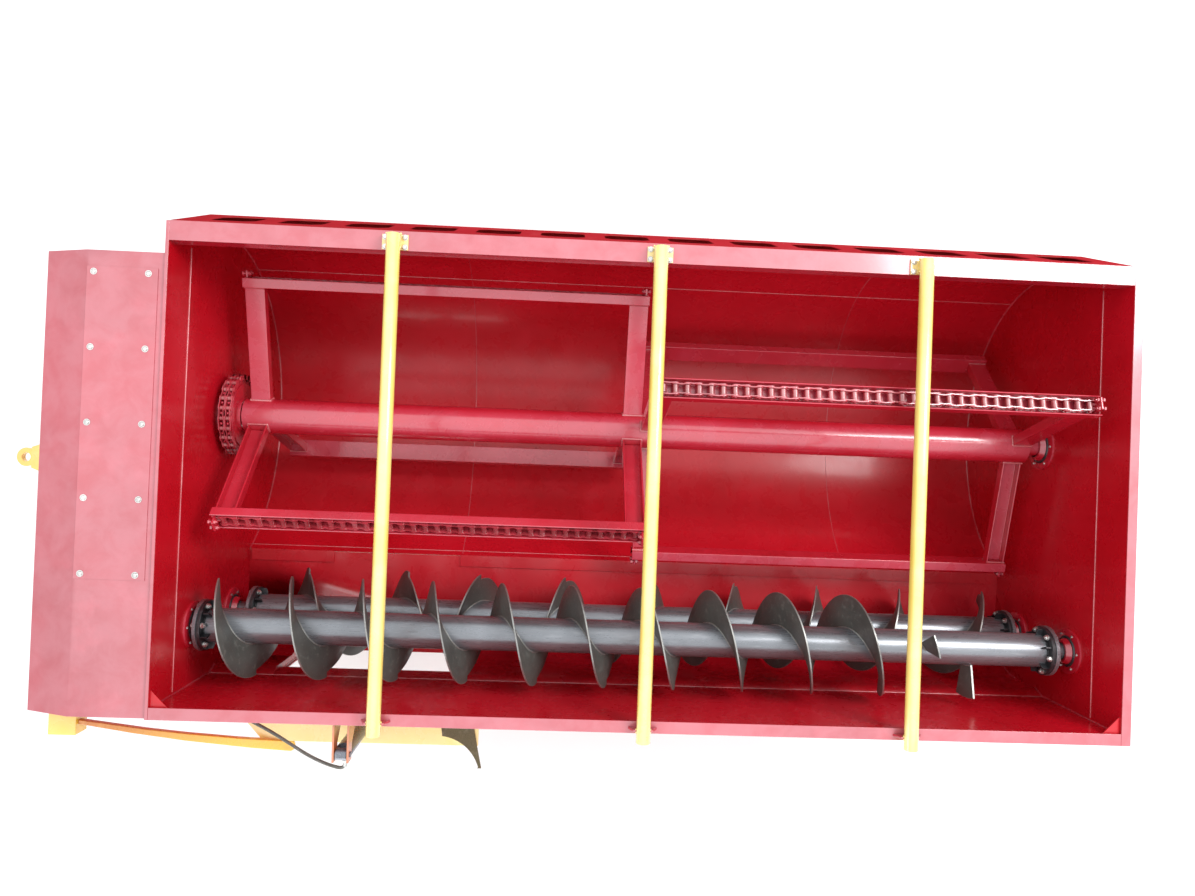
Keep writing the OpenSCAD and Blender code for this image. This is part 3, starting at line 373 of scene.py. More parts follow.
# Paler than the flight's face: a painted highlight along the flight's rim.
flight_edge = steel("flight_cut_edge", (0.34, 0.34, 0.32), (0.20, 0.20, 0.19), (0.62, 0.61, 0.58),
                    (0.25, 0.45), metallic=0.6, grain=140.0, bump=0.25)
flange_dark = steel("flange_dark", (0.030, 0.032, 0.036), (0.016, 0.017, 0.020), (0.12, 0.12, 0.13),
                    (0.30, 0.5), metallic=0.3, grain=90.0)
flange_light = steel("flange_machined", (0.34, 0.35, 0.37), (0.22, 0.23, 0.25), (0.55, 0.56, 0.58),
                     (0.24, 0.42), metallic=0.7, grain=160.0)
zinc = steel("zinc_plate", (0.72, 0.72, 0.69), (0.52, 0.52, 0.50), (0.90, 0.89, 0.84), (0.18, 0.38),
             metallic=0.85, grain=220.0)
chrome = steel("chrome_rod", (0.86, 0.86, 0.87), (0.74, 0.74, 0.76), (0.95, 0.95, 0.95), (0.05, 0.14),
               metallic=1.0, grain=300.0, bump=0.03, along=(1, 1, 0.1))
cast_grey = steel("cast_housing", (0.13, 0.135, 0.15), (0.08, 0.084, 0.095), (0.24, 0.24, 0.25), (0.42, 0.66),
                  metallic=0.15, spec=0.5, grain=180.0, bump=0.45)
chain_metal = steel("oiled_chain", (0.20, 0.18, 0.16), (0.08, 0.07, 0.06), (0.42, 0.39, 0.35), (0.22, 0.5),
                    metallic=0.75, grain=150.0, bump=0.2)
barrel_metal = steel("cylinder_steel", (0.20, 0.21, 0.24), (0.10, 0.105, 0.12), (0.42, 0.43, 0.45),
                     (0.2, 0.4), metallic=0.6, along=(1, 1, 0.15), grain=90.0)
slide = steel("slide_block", (0.72, 0.71, 0.64), (0.60, 0.58, 0.50), (0.84, 0.83, 0.78), (0.45, 0.65),
              spec=0.4)
orange = enamel("bracket_orange", (0.55, 0.13, 0.025), (0.16, 0.025, 0.008), (0.85, 0.38, 0.20), dust_and_sheen=0.2,
                dust_and_sheen_colour=(0.8, 0.5, 0.35), gloss=(0.2, 0.5), streaks=0.8, peel=0.4)
# Roller chain, all one red paint: the darker rollers and inner plates are painted shade where they sit
# between the outer plates, and the pink tint on faces that look up is mostly a painted sheen.
chain_roller = enamel("chain_roller_red", (0.42, 0.030, 0.045), (0.20, 0.006, 0.012), (0.70, 0.30, 0.33),
                      dust_and_sheen=0.3, gloss=(0.15, 0.3), peel=0.3)
chain_plate = enamel("chain_plate_red", (0.56, 0.030, 0.050), (0.36, 0.012, 0.025), (0.78, 0.30, 0.34),
                     dust_and_sheen=0.25, dust_and_sheen_colour=(0.75, 0.36, 0.42), gloss=(0.16, 0.3), peel=0.3)
chain_plate_deep = enamel("chain_inner_red", (0.46, 0.02, 0.035), (0.22, 0.006, 0.012), (0.70, 0.22, 0.25),
                          dust_and_sheen=0.2, dust_and_sheen_colour=(0.70, 0.34, 0.38), gloss=(0.16, 0.3), peel=0.3)
CHAIN_PAINTS = [chain_roller, chain_plate, chain_plate_deep]
# Paler than the flight: a painted highlight along the root weld.
flight_weld = steel("flight_weld", (0.30, 0.30, 0.28), (0.16, 0.16, 0.15), (0.60, 0.60, 0.56), (0.25, 0.5),
                    metallic=0.4, grain=160.0, bump=0.4)
flap_rubber = rubber("flap_rubber", (0.105, 0.085, 0.035), (0.060, 0.048, 0.020), (0.22, 0.20, 0.14))
flap_edge = rubber("flap_cut_edge", (0.45, 0.44, 0.36), (0.30, 0.29, 0.22), (0.62, 0.60, 0.52))
tyre_rubber = rubber("tyre_rubber", (0.022, 0.022, 0.022), (0.012, 0.012, 0.012), (0.075, 0.068, 0.058))


def arm_paint():
    """Painted shadow: orange brown towards the cover end, grading to the arm's full yellow at the hood end.
    """
    n = Nodes("arm_enamel")
    parts = n.tree.nodes.new("ShaderNodeSeparateXYZ")
    n.link(n.place, parts.inputs[0])
    patch = n.noise(24.0, 5, 0.6)
    shadow_edge_noise = n.noise(7.0, 4, 0.6, n.scaled((0.4, 1, 1)))
    # Painted shadow along the arm: orange brown at X = -1.64, full yellow from X = -0.90, its edge made
    # ragged by noise.
    along = n.ramp(parts.outputs["X"], -1.64, -0.90)
    along = n.math("ADD", along, n.math("MULTIPLY", n.math("SUBTRACT", shadow_edge_noise, 0.5), 0.35))
    colour = n.mix(along, (0.55, 0.17, 0.018), (0.90, 0.55, 0.05))
    colour = n.mix(n.ramp(patch, 0.5, 0.72, 0.0, 0.5), colour, (0.78, 0.42, 0.10))
    normal = n.bump(n.noise(600.0, 2), 0.15, 0.0006)
    return n.done(colour, n.ramp(patch, 0.2, 0.8, 0.18, 0.42), normal, Coat_Weight=0.6, Coat_Roughness=0.15,
                  Specular_IOR_Level=0.7)


def braid_paint():
    """Woven wire sleeve over rubber, drawn along and round the hose by its UVs."""
    n = Nodes("hose_braid")
    uv = n.tree.nodes.new("ShaderNodeTexCoord").outputs["UV"]
    strands = []
    for turned in (0.78, -0.78):
        place = n.tree.nodes.new("ShaderNodeMapping")
        place.inputs["Rotation"].default_value = (0, 0, turned)
        n.link(uv, place.inputs["Vector"])
        wave = n.new("TexWave", Scale=5.0, Distortion=0.2)
        n.link(place.outputs[0], wave.inputs["Vector"])
        strands.append(wave.outputs["Fac"])
    weave = n.math("MULTIPLY", strands[0], strands[1])
    dirt = n.noise(30.0, 4)
    colour = n.mix(n.ramp(weave, 0.05, 0.55), (0.03, 0.03, 0.026), (0.42, 0.42, 0.37))
    colour = n.mix(n.ramp(dirt, 0.45, 0.7, 0.0, 0.6), colour, (0.10, 0.10, 0.075))
    return n.done(colour, n.ramp(weave, 0.0, 0.6, 0.7, 0.4), n.bump(weave, 0.6, 0.0012), Metallic=0.2)


arm_enamel = arm_paint()
hose_braid = braid_paint()

# ---------------------------------------------------------------- the hose
HOSE = [(-1240, -1447, 2012), (-1240, -1458, 2012), (-1243, -1470, 2008), (-1251, -1480, 2003),
        (-1264, -1485, 1996), (-1285, -1485, 1987), (-1315, -1481, 1977), (-1350, -1472, 1968),
        (-1390, -1457, 1962), (-1430, -1436, 1961), (-1470, -1410, 1965), (-1510, -1381, 1974),
        (-1548, -1352, 1987), (-1584, -1325, 2003), (-1615, -1302, 2019), (-1642, -1283, 2033),
        (-1662, -1269, 2042), (-1676, -1259, 2047), (-1684, -1250, 2049), (-1687, -1240, 2050),
        (-1687, -1232, 2050)]
HOSE_R, HOSE_SIDES = 0.007, 16
BRAID_LENGTH, BRAID_ROUND = 0.02, 2.2


def smooth_path(points, between=6):
    """A Catmull-Rom line through points."""
    points = [Vector(p) for p in points]
    whole = [2 * points[0] - points[1]] + points + [2 * points[-1] - points[-2]]
    out = []
    for i in range(1, len(whole) - 2):
        p0, p1, p2, p3 = whole[i - 1:i + 3]
        for k in range(between):
            t = k / between
            out.append(0.5 * (2 * p1 + (p2 - p0) * t + (2 * p0 - 5 * p1 + 4 * p2 - p3) * t * t
                              + (3 * p1 - p0 - 3 * p2 + p3) * t ** 3))
    out.append(points[-1])
    return out


def build_hose():
    path = smooth_path([at(*p) for p in HOSE])
    shape = Shape()
    shape.tube(path, HOSE_R, HOSE_SIDES)
    obj = shape.piece("hose_sleeve", hose_braid, "tub", ["hydraulic_hose"], "hose_braid", sharp=60)
    uv = obj.data.uv_layers.new(name="braid")
    run = [0.0]
    for a, b in zip(path, path[1:]):
        run.append(run[-1] + (b - a).length)
    for poly in obj.data.polygons:
        corners = [obj.data.loops[i].vertex_index for i in poly.loop_indices]
        wraps = {c % HOSE_SIDES for c in corners} >= {0, HOSE_SIDES - 1}
        for i, c in zip(poly.loop_indices, corners):
            k = c % HOSE_SIDES
            turned = (HOSE_SIDES if wraps and k == 0 else k) / HOSE_SIDES
            uv.data[i].uv = (run[c // HOSE_SIDES] / BRAID_LENGTH, turned * BRAID_ROUND)
    fittings = Shape()
    for p, q in ((path[0], path[4]), (path[-1], path[-5])):
        d = (q - p).normalized()
        fittings.turned(p - d * 0.002, d, [(0, 0.0075), (0, 0.0105), (0.010, 0.0105), (0.011, 0.0092),
                                           (0.026, 0.0092), (0.029, 0.0078)], 16)
        hexagon(fittings, p - d * 0.001, d, 0.022, 0.009)
    ends = fittings.piece("hose_fittings", zinc, "tub", slot="zinc")


build_hose()

# ---------------------------------------------------------------- reel
REEL_Z = RIM - 688
BAT_R, TUBE_R = 613, 84
ARM_HALF = 36
CHAIN_OUT = 28
# Each half of the reel: its name, the places of its two spiders and the angles of its bats
HALVES = (("left", (-1825, -50), (163.6, 43.6, 283.6)), ("right", (35, 1855), (104.5, 224.5, -15.5)))


def on_reel(angle, x, t, r):
    """A point of the reel: x along it, t across the bat, r out from the axis."""
    lean = math.radians(90 - angle)
    return at(x, t * math.cos(lean) - r * math.sin(lean), REEL_Z + t * math.sin(lean) + r * math.cos(lean))


def reel_dirs(angle):
    """Across the bat, and out from the axis."""
    origin = on_reel(angle, 0, 0, 0)
    return tuple((on_reel(angle, 0, *step) - origin).normalized() for step in ((1, 0), (0, 1)))


def link_outline(pitch, r, waist, turns=7):
    """Outline of a chain plate from pin to pin."""
    points = []
    for centre, start in ((pitch, -90), (0.0, 90)):
        for i in range(turns + 1):
            a = math.radians(start + 180 * i / turns)
            points.append((centre + r * math.cos(a), r * math.sin(a)))
        points.append((pitch / 2, waist if centre else -waist))
    return points


def pin_profile(length, r, chamfer, nose):
    return [(0, r * nose), (chamfer, r), (length - chamfer, r), (length, r * nose)]


def chain_row(shape, place, pitch, count, inner, plate, pin, roller_r, pin_r, plate_r, waist):
    """A roller chain: place(s, across, out) gives points, s along the chain."""
    outline = link_outline(pitch, plate_r, waist)
    for i in range(count + 1):
        s = i * pitch
        o = place(s, 0, 0)
        side = (place(s, 1, 0) - o).normalized()
        shape.turned(o - side * inner / 2, side, pin_profile(inner, roller_r, 0.001, 0.9), 14, 0)
        shape.turned(o - side * pin / 2, side, pin_profile(pin, pin_r, 0.0015, 0.7), 10, 1)
        if i == count:
            break
        along = (place(s + pitch, 0, 0) - o).normalized()
        out = side.cross(along) * -1
        for sign in (-1, 1):
            gap = inner / 2 + (0.0004 if i % 2 else plate + 0.0008)
            start = o + side * (gap if sign > 0 else -gap - plate)
            depth = (0, plate) if along.cross(out).dot(side) > 0 else (0, -plate)
            shape.extruded(start, along, out, outline, depth, 1 if i % 2 == 0 else 2)


def build_bat_chains():
    """A chain in each bat's channel, with the two studs that hold each of its ends."""
    pitch, end_gap = 0.0508, 20
    for half, spiders, angles in HALVES:
        x0, x1 = spiders[0] - ARM_HALF + 10, spiders[1] + ARM_HALF - 10
        count = int((x1 - x0 - 2 * end_gap) / 1000 / pitch)
        start = (x0 + x1) / 2 - count * pitch * 500
        for number, angle in enumerate(angles, 1):
            across, out = reel_dirs(angle)
            base = on_reel(angle, start, 0, BAT_R + CHAIN_OUT)

            def place(s, t, r):
                return base + X_AXIS * s + across * t + out * r

            shape = Shape()
            chain_row(shape, place, pitch, count, 0.0350, 0.0045, 0.062, 0.0135, 0.0075, 0.0185, 0.0125)
            for s, x in ((0, x0), (count * pitch, x1)):
                reach = X_AXIS * ((x + SHIFT_X) / 1000 - base.x - s)
                for t in (-0.009, 0.009):
                    stud = base + X_AXIS * s + across * t
                    shape.tube(line(stud, stud + reach, step=0.02), 0.0075, 10, 1)
            replaced = ["bat_chains"] if (half, number) == ("left", 1) else []
            shape.piece(f"bat_chain_{half}_{number}", CHAIN_PAINTS, "reel", replaced, "tub_red", sharp=40)


build_bat_chains()


def build_coupling():
    """Two sprockets held together by one duplex chain, all sprayed red."""
    teeth, rows, pitch_r = 24, (0.0165, 0.0455), 0.183
    hub = at(-1970, 0, REEL_Z)
    discs = Shape()
    discs.turned(hub, X_AXIS, [(0.0, 0.050), (0.0, 0.078), (0.062, 0.078), (0.062, 0.050)], 48)
    discs.turned(hub, X_AXIS, [(0.008, 0.074), (0.008, 0.150), (0.014, 0.150), (0.014, 0.160), (0.020, 0.164),
                               (0.024, 0.150), (0.038, 0.150), (0.042, 0.164), (0.048, 0.160), (0.048, 0.150),
                               (0.054, 0.150), (0.054, 0.074)], 48)
    tooth = ((0.158, -0.013), (0.187, -0.004), (0.187, 0.004), (0.158, 0.013))
    for row in rows:
        for k in range(teeth):
            a = TAU * k / teeth
            foot = hub + X_AXIS * (row - 0.004)
            discs.grid([[foot + X_AXIS * d + round_x(a, r) + round_x(a + TAU / 4, q) for r, q in tooth]
                        for d in (0, 0.008)])
    discs.piece("coupling_sprockets", red_reel, "reel", ["chain_coupling"], "tub_red", sharp=40)

    chain = Shape()
    step = TAU * pitch_r / teeth
    for row in rows:
        for first, count in ((0, teeth - 1), (teeth - 1, 1)):
            def place(s, t, r):
                a = (s + step * first) / pitch_r + math.pi / teeth
                return hub + X_AXIS * (row + t) + round_x(a, pitch_r + r)

            chain_row(chain, place, step, count, 0.014, 0.0030, 0.027, 0.0105, 0.0055, 0.0128, 0.0098)
    chain.piece("coupling_chain", CHAIN_PAINTS, "reel", slot="tub_red")

    screws = Shape()
    for k in range(3):
        hexagon(screws, hub + X_AXIS * 0.062 + round_x(TAU * k / 3 + 0.4, 0.064), X_AXIS, 0.016, 0.008)
    screws.piece("coupling_screws", zinc, "reel", slot="zinc")


build_coupling()


def arm_foot_path(angle, x, half_x=47, half_t=24, steps=24):
    """Round an arm's square foot, on the curve of the reel's tube."""
    corners = [(-half_x, -half_t), (half_x, -half_t), (half_x, half_t), (-half_x, half_t)]
    path = []
    for (xa, ta), (xb, tb) in zip(corners, corners[1:] + corners[:1]):
        for i in range(steps):
            t = ta + (tb - ta) * i / steps
            along = x + xa + (xb - xa) * i / steps
            path.append(on_reel(angle, along, t, math.sqrt(TUBE_R ** 2 - t * t) + 1.5))
    return path


def build_reel_welds():
    """Beads round the feet of the arms, under the bats and on the bat ends, with the anchor bolts."""
    welds, bolts = Shape(), Shape()
    for _, spiders, angles in HALVES:
        for angle in angles:
            for x in spiders:
                welds.bead(arm_foot_path(angle, x), 0.0052, 0.011, 0.16, 7, closed=True)
                for t in (-22, 22):
                    seam = [on_reel(angle, x + end, t, BAT_R - 1) for end in (-46, 46)]
                    welds.bead(line(*seam), 0.0042, 0.010, 0.16)
            for x, sign in ((spiders[0] - ARM_HALF, 1), (spiders[1] + ARM_HALF, -1)):
                for t in (-19, 19):
                    o = on_reel(angle, x - 6 * sign, t, BAT_R + 62)
                    hexagon(bolts, o, X_AXIS * -sign, 0.020, 0.010)
                    bolts.turned(o, X_AXIS * sign, [(0, 0.0055), (0.030, 0.0055)], 12)
                    hexagon(bolts, o + X_AXIS * 0.016 * sign, X_AXIS * sign, 0.020, 0.009)
                for t in (-28, 28):
                    seam = [on_reel(angle, x - 2 * sign, t, BAT_R + r) for r in (8, 44)]
                    welds.bead(line(*seam), 0.0035, 0.010, 0.16)
    for x in (-1903, 1903):
        ring = [at(x, 0, REEL_Z) + round_x(TAU * k / 160, 0.047) for k in range(160)]
        welds.bead(ring, 0.005, 0.011, 0.16, 7, closed=True)
    welds.piece("reel_weld_beads", red_weld, "reel", slot="tub_red", sharp=80)
    bolts.piece("anchor_bolts", chain_plate, "reel", slot="tub_red")


build_reel_welds()

# ---------------------------------------------------------------- augers
UPPER = {"y": -952, "z": RIM - 403, "r": 226, "ends": (-1962, 1901), "body": "upper_auger"}
LOWER = {"y": -960, "z": RIM - 871, "r": 214, "ends": (-1899, 1944), "body": "lower_auger"}
AUGER_TUBE = 76
FLIGHT_T = 8
STEP_DEG = 5
# After the first, each sector of a flight starts NOTCH inside the full radius. It keeps that for NOTCH_FROM
# degrees and grows out to the full radius over the next NOTCH_OVER degrees
NOTCH, NOTCH_FROM, NOTCH_OVER = 24, 16, 60
SHORTEST_SECTOR = 12
# Slots of the flight's eight sides: its faces, and its cut edge with the two chamfers
FLIGHT_SIDES = [0, 0, 1, 1, 1, 0, 0, 0]


def on_auger(auger, x, degrees, r):
    """A point at an angle and radius round an auger's axis."""
    a = math.radians(degrees)
    return at(x, auger["y"] + r * math.cos(a), auger["z"] + r * math.sin(a))


def sector_stops(a0, a1, seam, direction):
    """Where one full-turn sector ends and the next begins."""
    turns = (a0 - seam) / 360
    a = seam + 360 * (math.ceil(turns) if direction > 0 else math.floor(turns))
    stops = [a0]
    while direction * (a1 - a) > SHORTEST_SECTOR:
        if direction * (a - a0) > SHORTEST_SECTOR:
            stops.append(a)
        a += 360 * direction
    return stops + [a1]


def spiral(auger, x0, a0, a1, pitch, seam):
    """One flight in full-turn sectors: each starts a little smaller than the last one ended."""
    sheet, bead = Shape(), Shape()
    direction = 1 if a1 > a0 else -1
    stops = sector_stops(a0, a1, seam, direction)
    root = AUGER_TUBE + 0.6
    for s0, s1 in zip(stops, stops[1:]):
        n = max(2, int(abs(s1 - s0) / STEP_DEG))
        rings = []
        for i in range(n + 1):
            ang = s0 + (s1 - s0) * i / n
            grown = max(0.0, abs(ang - s0) - NOTCH_FROM) / NOTCH_OVER
            outer = auger["r"] - (0 if s0 == a0 else NOTCH * max(0.0, 1 - grown))
            middle = (AUGER_TUBE + outer) / 2
            x = x0 + pitch * (ang - a0) / 360
            wave = 1.5 * math.sin(math.radians(ang * 2.3 + s0))
            section = ((0, root), (wave / 2, middle), (wave, outer - 2), (1 + wave, outer),
                       (FLIGHT_T - 1 + wave, outer), (FLIGHT_T + wave, outer - 2),
                       (FLIGHT_T + wave / 2, middle), (FLIGHT_T, root))
            rings.append([on_auger(auger, x + dx, ang, r) for dx, r in section])
        sheet.grid(rings[::direction], mark=1, sides=FLIGHT_SIDES)
    n = int(abs(a1 - a0) / 3)
    for side in (-1, FLIGHT_T + 1):
        bead.bead([on_auger(auger, x0 + side + pitch * (a1 - a0) * i / n / 360, a0 + (a1 - a0) * i / n,
                            AUGER_TUBE + 1.5) for i in range(n + 1)], 0.0034, 0.012, 0.15)
    return sheet, bead


def build_flights():
    """Each run: name, auger, start x, start and end angle, pitch, angle of its sector seams, CAD node."""
    runs = (("upper_flight", UPPER, -1878, 15, 3430, 316, 186, "upper_auger_flight"),
            ("upper_paddle_1", UPPER, 1274, 66, 91, 316, 186, ""),
            ("upper_paddle_2", UPPER, 1504, 195, 165, -316, 6, ""),
            ("lower_feed_flight", LOWER, -1630 - 490 * 100 / 360, -100, 450, 490, 8, "lower_auger_flight"),
            ("lower_flight", LOWER, -763 - 427 * 140 / 360, 140, -2210, -427, 8, ""))
    for name, auger, *run, node in runs:
        sheet, bead = spiral(auger, *run)
        body = auger["body"]
        sheet.piece(name, [flight_grey, flight_edge], body, [node] if node else (), "auger_steel", sharp=30)
        bead.piece(name + "_weld", flight_weld, body, slot="auger_steel", sharp=80)


build_flights()


def build_flanges():
    """Bolted flange pairs: machined outer ring, dark inner ring, ribs, hex bolts and nuts."""
    rib = [(0.036, 0.075), (0.068, 0.075), (0.068, 0.088), (0.062, 0.104), (0.036, 0.104)]
    for auger in (UPPER, LOWER):
        body = auger["body"]
        rings, metal, bolts = Shape(), Shape(), Shape()
        for end, sign, phase in ((auger["ends"][0], 1, 22), (auger["ends"][1], -1, 42)):
            origin = at(end, auger["y"], auger["z"])
            axis = X_AXIS * sign
            metal.turned(origin, axis, [(0.0, 0.036), (0.0, 0.109), (0.0025, 0.1135), (0.0155, 0.1135),
                                        (0.0178, 0.111), (0.0178, 0.060)], 72)
            rings.turned(origin, axis, [(0.0185, 0.060), (0.0185, 0.108), (0.0205, 0.1115), (0.0335, 0.1115),
                                        (0.036, 0.108), (0.036, 0.0765), (0.044, 0.0765)], 72, caps=False)
            for k in range(6):
                a = TAU * k / 6 + math.radians(phase)
                o = origin + round_x(a, 0.095)
                bolts.turned(o + axis * 0.036, axis, [(0, 0.0135), (0.0028, 0.0135), (0.003, 0.008)], 20)
                hexagon(bolts, o + axis * 0.0388, axis, 0.021, 0.0105, phase=k * 0.37)
                bolts.turned(o + axis * 0.049, axis, [(0, 0.0062), (0.004, 0.0062), (0.005, 0.005)], 12)
                hexagon(bolts, o - axis * 0.0002, -axis, 0.020, 0.0068, phase=k * 0.23)
                b = a + TAU / 12
                sides = [[origin + axis * t + round_x(b, r) + round_x(b + TAU / 4, d) for t, r in rib]
                         for d in (-0.004, 0.004)]
                rings.grid(sides[::sign])
        rings.piece(f"{body}_rings", flange_dark, body, [f"{body}_flanges"], "auger_steel", bevel=0.001)
        metal.piece(f"{body}_machined_rings", flange_light, body, slot="auger_steel")
        bolts.piece(f"{body}_flange_bolts", zinc, body, slot="zinc")


build_flanges()


def build_seals():
    """Stationary hub rings on the end walls round every shaft, as long as the room before its flange."""
    shafts = ((0, REEL_Z, 0.052, (-1970, 1900)), (UPPER["y"], UPPER["z"], 0.042, UPPER["ends"]),
              (LOWER["y"], LOWER["z"], 0.042, LOWER["ends"]))
    red_rings, grey_rings, screws = Shape(), Shape(), Shape()
    for wall, sign, end in ((-WALL_X, 1, 0), (WALL_X, -1, 1)):
        axis = X_AXIS * sign
        for y, z, r, ends in shafts:
            room = abs(wall - ends[end]) - 12
            h = min(room, 40) / 1000
            o = at(wall, y, z)
            red_rings.turned(o, axis, [(0, r), (0, r + 0.062), (0.008, r + 0.062), (0.010, r + 0.058),
                                       (0.010, r + 0.020), (h, r + 0.010), (h, r)], 64, caps=False)
            grey_rings.turned(o, axis, [(0.011, r), (0.011, r + 0.030), (0.016, r + 0.026), (0.016, r)], 64,
                              caps=False)
            if room > 12:
                for k in range(6):
                    place = o + axis * 0.0095 + round_x(TAU * (k + 0.5) / 6, r + 0.043)
                    hexagon(screws, place, axis, 0.011, 0.005)
    red_rings.piece("hub_plates", red_reel, "tub", slot="tub_red")
    grey_rings.piece("hub_seals", flange_dark, "tub", slot="cast")
    screws.piece("hub_screws", zinc, "tub", slot="zinc")


build_seals()

# ---------------------------------------------------------------- tub seams
TROUGH_Y, TROUGH_R = 30, 817
CUSP, BACK_TOP = 209.5, 386.0
FRONT_IN, DOOR_X = -1218, (-1703, -873)
BEND_Z, KNEE = RIM - 607, (LOWER["y"] - 232, RIM - 672)
LOW_R = 231


def trough_point(x, degrees, r, y=TROUGH_Y, z=REEL_Z):
    """A point at an angle and radius round the reel's trough, or round another axis at y, z."""
    a = math.radians(degrees)
    return at(x, y + r * math.cos(a), z + r * math.sin(a))


def arc(x, a0, a1, r, step=0.35):
    """Round the reel's trough from angle a0 to a1."""
    n = max(3, int(abs(a1 - a0) / step))
    return [trough_point(x, a0 + (a1 - a0) * i / n, r) for i in range(n + 1)]


def build_tub_welds():
    """Beads along the tub's corners and bends, and low seams between its sheets."""
    welds = Shape()
    for x in (1 - WALL_X, WALL_X - 1):
        welds.bead(arc(x, CUSP, BACK_TOP, TROUGH_R - 1.5), 0.0042, 0.012)
        welds.bead(line(at(x, -1205, RIM - 218), at(x, 690, RIM - 218)), 0.0034, 0.012, 0.12)
        welds.bead(line(at(x, FRONT_IN + 1, RIM - 22), at(x, FRONT_IN + 1, BEND_Z)), 0.0042, 0.012)
        welds.bead(line(at(x, FRONT_IN + 1, BEND_Z), at(x, *KNEE)), 0.0036, 0.012)
        welds.bead([trough_point(x, 180 + 90 * i / 120, LOW_R, LOWER["y"], LOWER["z"]) for i in range(121)],
                   0.0036, 0.012)
    for x in (-890, 1158):
        welds.bead(arc(x, CUSP + 1, BACK_TOP, TROUGH_R + 0.6, 0.5), 0.0024, 0.014, 0.2)
    seam_x = WALL_X - 4
    for a in (-24.85, 212.0):
        ends = [trough_point(x, a, TROUGH_R + 0.6) for x in (-seam_x, seam_x)]
        welds.bead(line(*ends, 0.006), 0.0026, 0.016, 0.2)
    bend = [at(x, FRONT_IN + 0.4, BEND_Z) for x in (-seam_x, seam_x)]
    welds.bead(line(*bend, 0.006), 0.0022, 0.016, 0.15)
    for x in DOOR_X:
        welds.bead(line(at(x, FRONT_IN - 4, RIM - 765), at(x, FRONT_IN - 4, 1047)), 0.003, 0.012)
    welds.piece("tub_weld_beads", red_weld, "tub", slot="tub_red", sharp=80)


build_tub_welds()

# ---------------------------------------------------------------- fasteners
PANEL_BOLTS = [(x, y) for x in (-2295, -2078) for y in (533, 228, -76, -380, -684)]
BARS, BAR_Z = (-1093, -10, 1089), RIM + 47
BRACKET_Y = 704


def build_fasteners():
    """Pan-head screws of the inspection panel, and the hex bolts of the bars' brackets."""
    pan, hexes = Shape(), Shape()
    pan_head = [(-0.014, 0.0050), (0.0002, 0.0050), (0.0002, 0.0135), (0.0016, 0.0135), (0.0016, 0.0102),
                (0.0040, 0.0098), (0.0060, 0.0080), (0.0068, 0.0048), (0.0068, 0.0036), (0.0042, 0.0034)]
    for x, y in PANEL_BOLTS:
        pan.turned(at(x, y, RIM - 9), Z_AXIS, pan_head, 24)
    washer = [(-0.022, 0.0058), (0.0, 0.0058), (0.0, 0.0122), (0.0022, 0.0122), (0.0024, 0.009)]
    for x in BARS:
        for i in (-40, 40):
            for j in (-20, 20):
                o = at(x + i, BRACKET_Y + j, RIM + 8)
                hexes.turned(o, Z_AXIS, washer, 24)
                hexagon(hexes, o + Z_AXIS * 0.0022, Z_AXIS, 0.019, 0.0076, phase=(x + i + j) * 0.13)
    pan.piece("panel_screws", zinc, "tub", ["panel_bolts"], "zinc")
    hexes.piece("bracket_hex_bolts", zinc, "tub", ["bracket_bolts"], "zinc")


build_fasteners()


def build_bars():
    """Seamless tubes with the beads that join them to their end plates."""
    shape, welds = Shape(), Shape()
    tube = [(0.010, 0.0248), (0.0, 0.0262), (0.0, 0.0278), (0.0014, 0.029), (2.0136, 0.029),
            (2.015, 0.0278), (2.015, 0.0262), (2.005, 0.0248)]
    plugs = ([(0.008, 0.0), (0.008, 0.026), (0.012, 0.026)], [(2.003, 0.026), (2.007, 0.026), (2.007, 0.0)])
    # Under the tube: where each bead lies, and the angles that it runs between
    beads = ((BRACKET_Y - 27, 180, 360), (BRACKET_Y + 27, 180, 360), (-1244, 185, 355), (-1232, 185, 355))
    for x in BARS:
        o = at(x, -1285, BAR_Z)
        shape.turned(o, (0, 1, 0), tube, 64, caps=False)
        for plug in plugs:
            shape.turned(o, (0, 1, 0), plug, 32, caps=False)
        for y, a0, a1 in beads:
            turns = [math.radians(a0 + (a1 - a0) * k / 60) for k in range(61)]
            ring = [at(x + 29.5 * math.cos(a), y, BAR_Z + 29.5 * math.sin(a)) for a in turns]
            welds.bead(ring, 0.0036, 0.010)
    shape.piece("cross_tubes", yellow_bar, "tub", ["cross_bars"], "frame_yellow", sharp=50)
    welds.piece("bar_weld_beads", yellow_pale, "tub", slot="frame_yellow", sharp=80)


build_bars()


def build_flap():
    """Rubber skirt: a curved sheet that droops at its tip, with a pale cut edge and a clamp strip."""
    z = RIM - 430
    straight = [(-883, -1370), (-737, -1370), (-716, -1470), (-694, -1568), (-712, -1568)]
    curve = []
    for i in range(25):
        a = math.radians(16.0 + (84.0 - 16.0) * i / 24)
        curve.append((-895 + 196 * math.cos(a), -1622 + 196 * math.sin(a)))
    outline = straight + [p for p in curve if p[1] < -1426.5]
    sheet = Shape()
    skins = [[at(x, y, z + dz + 0.00012 * max(0, -1470 - y) ** 2) for x, y in outline] for dz in (0.6, 9.0)]
    sheet.grid(skins, sides=[0] * len(straight) + [1] * (len(outline) - len(straight)))
    sheet.piece("flap_sheet", [flap_rubber, flap_edge], "tub", ["rubber_flap"], "flap_rubber", sharp=40)
    clamp = Shape()
    clamp.box(at(-872, -1388, z + 9.3), at(-742, -1372, z + 13))
    for x in (-850, -807, -764):
        hexagon(clamp, at(x, -1380, z + 13), Z_AXIS, 0.011, 0.005)
    clamp.piece("flap_clamp", yellow_pale, "tub", slot="frame_yellow", bevel=0.0008)


build_flap()


